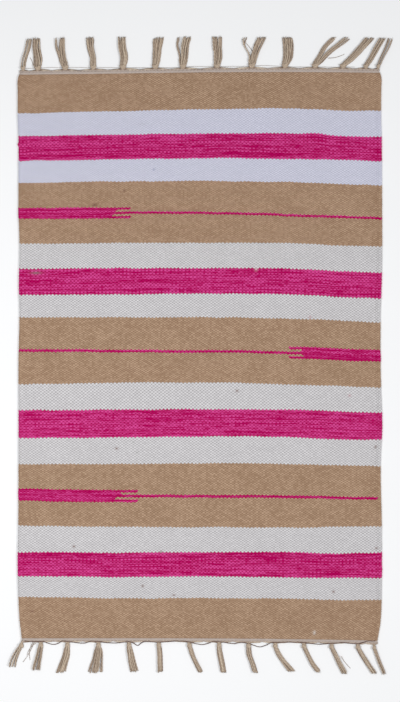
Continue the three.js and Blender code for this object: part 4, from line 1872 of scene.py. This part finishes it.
    def loose_ends(self) -> bpy.types.Object:
        """Lays the stray ends of yarn on the floor, each a bowed line that thins to its end."""
        rng = np.random.default_rng(self.seed + 3)
        share = np.linspace(0, 1, self.stray_points)
        paths = []
        for stray in self.strays:
            start, end = np.array(stray.start), np.array(stray.end)
            ahead = end - start
            beside = np.array([ahead[1], -ahead[0]]) / np.linalg.norm(ahead)
            place = start + ahead * share[:, None] + beside * (stray.bow * np.sin(np.pi * share))[:, None]
            height = self.stray_height + self.stray_rise * (1 - smoothstep(share, *self.stray_fall))
            paths.append(np.column_stack([place, height]))
        radii = np.tile(self.stray_radius - self.stray_thinning * share, (len(paths), 1))
        maker = YarnMesh(sides=6, pitch=self.stray_pitch)
        lay = Lay(maker, np.stack(paths), radii, np.full((1, 1), self.stray_tone))
        return make_yarns(f"{self.name}_loose_ends", [lay], self.yarn_finish, rng)

    def tassels(self) -> list[bpy.types.Object]:
        """Ties every warp's end into the nearest tassel."""
        warps = self.warp_places()
        roots = np.array([plan.root for plan in self.plans])
        nearest = np.argmin(np.abs(warps[:, None] - roots[None, :]), 1)
        pieces = []
        for number, plan in enumerate(self.plans):
            name, seed = f"{self.name}_{number + 1:02d}", self.seed + 10 + number
            tassel = Tassel(name, plan, self.heading, self.side, seed)
            pieces.append(tassel.build(warps[nearest == number], self.yarn_finish))
        return pieces

    def build(self) -> list[bpy.types.Object]:
        """Builds every piece of this end."""
        return [self.strip(), self.cord(), self.thread(), self.loose_ends(), *self.tassels()]


@dataclass(frozen=True)
class Lamp:
    """A soft square lamp that looks at the rug's middle: its place and size in metres, its power in watts."""

    name: str
    place: tuple[float, float, float]
    size: float
    power: float

    def hang(self) -> None:
        """Makes the lamp."""
        data = bpy.data.lights.new(self.name, "AREA")
        data.shape = "SQUARE"
        data.size = self.size
        data.energy = self.power
        lamp = bpy.data.objects.new(self.name, data)
        lamp.location = self.place
        lamp.rotation_euler = (-Vector(self.place)).to_track_quat("-Z", "Y").to_euler()
        bpy.context.scene.collection.objects.link(lamp)


@dataclass
class Studio:
    """The floor, the light and the camera straight above the rug, in metres.

    The picture takes in picture_height of the rug's plane, and looks straight down at aim.
    """

    picture_height: float = 1.1604
    distance: float = 8.0
    sensor: float = 36.0
    clip_end: float = 100.0
    aim: tuple[float, float] = (0.0, 0.0082)
    lamps: tuple[Lamp, ...] = (
        Lamp("top_lamp", (-0.62, -0.22, 1.5), 0.9, 12.5),
        Lamp("right_lamp", (3.2, -0.5, 3.2), 1.07, 80.0),
    )
    sky_colour: tuple[float, float, float] = (0.96, 0.98, 1.0)
    sky_strength: float = 0.395
    floor_half: float = 20.0
    floor_level: float = -0.0002
    floor_colour: tuple[float, float, float] = (0.93, 0.93, 0.935)
    floor_roughness: float = 0.8
    floor_gloss: float = 0.1

    def camera(self) -> None:
        """Makes the camera: a long lens, whose sensor's long side takes in the picture's height."""
        data = bpy.data.cameras.new("camera")
        data.sensor_width = self.sensor
        data.lens = self.sensor * self.distance / self.picture_height
        data.clip_end = self.clip_end
        camera = bpy.data.objects.new("camera", data)
        camera.location = (*self.aim, self.distance + CLOTH_THICKNESS * MM)
        bpy.context.scene.collection.objects.link(camera)
        bpy.context.scene.camera = camera

    def floor(self) -> None:
        """Lays the pale floor just under the rug."""
        half, level = self.floor_half, self.floor_level
        mesh = bpy.data.meshes.new("floor")
        corners = [(-half, -half, level), (half, -half, level), (half, half, level), (-half, half, level)]
        mesh.from_pydata(corners, [], [(0, 1, 2, 3)])
        floor = bpy.data.objects.new("floor", mesh)
        bpy.context.scene.collection.objects.link(floor)
        material = bpy.data.materials.new("floor_paint")
        material.use_nodes = True
        surface = material.node_tree.nodes["Principled BSDF"]
        surface.inputs["Base Color"].default_value = as_colour(self.floor_colour)
        surface.inputs["Roughness"].default_value = self.floor_roughness
        surface.inputs["Specular IOR Level"].default_value = self.floor_gloss
        mesh.materials.append(material)

    def build(self) -> None:
        """Sets the whole studio up."""
        scene = bpy.context.scene
        scene.view_settings.view_transform = "Standard"
        world = bpy.data.worlds.new("studio")
        world.use_nodes = True
        sky = world.node_tree.nodes["Background"]
        sky.inputs["Color"].default_value = as_colour(self.sky_colour)
        sky.inputs["Strength"].default_value = self.sky_strength
        scene.world = world
        for lamp in self.lamps:
            lamp.hang()
        self.floor()
        self.camera()


def main() -> None:
    """Builds the rug and its studio, piece by piece."""
    logging.basicConfig(level=logging.INFO, format="%(message)s")
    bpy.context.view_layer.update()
    Studio().build()
    cloth = StripedCloth().build()
    looks = (StripFinish().build(), CORD_COTTON.build(), YARN_COTTON.build())
    brown, grey = BROWN_THREAD.build(), GREY_THREAD.build()
    ends = (
        RugEnd("far", FAR, FAR_TASSELS, FAR_HEADING, FAR_STRAYS, *looks, grey, seed=100),
        RugEnd("near", NEAR, NEAR_TASSELS, NEAR_HEADING, NEAR_STRAYS, *looks, brown, seed=200),
    )
    fringe = []
    for end in ends:
        fringe += end.build()


if __name__ == "__main__":
    main()
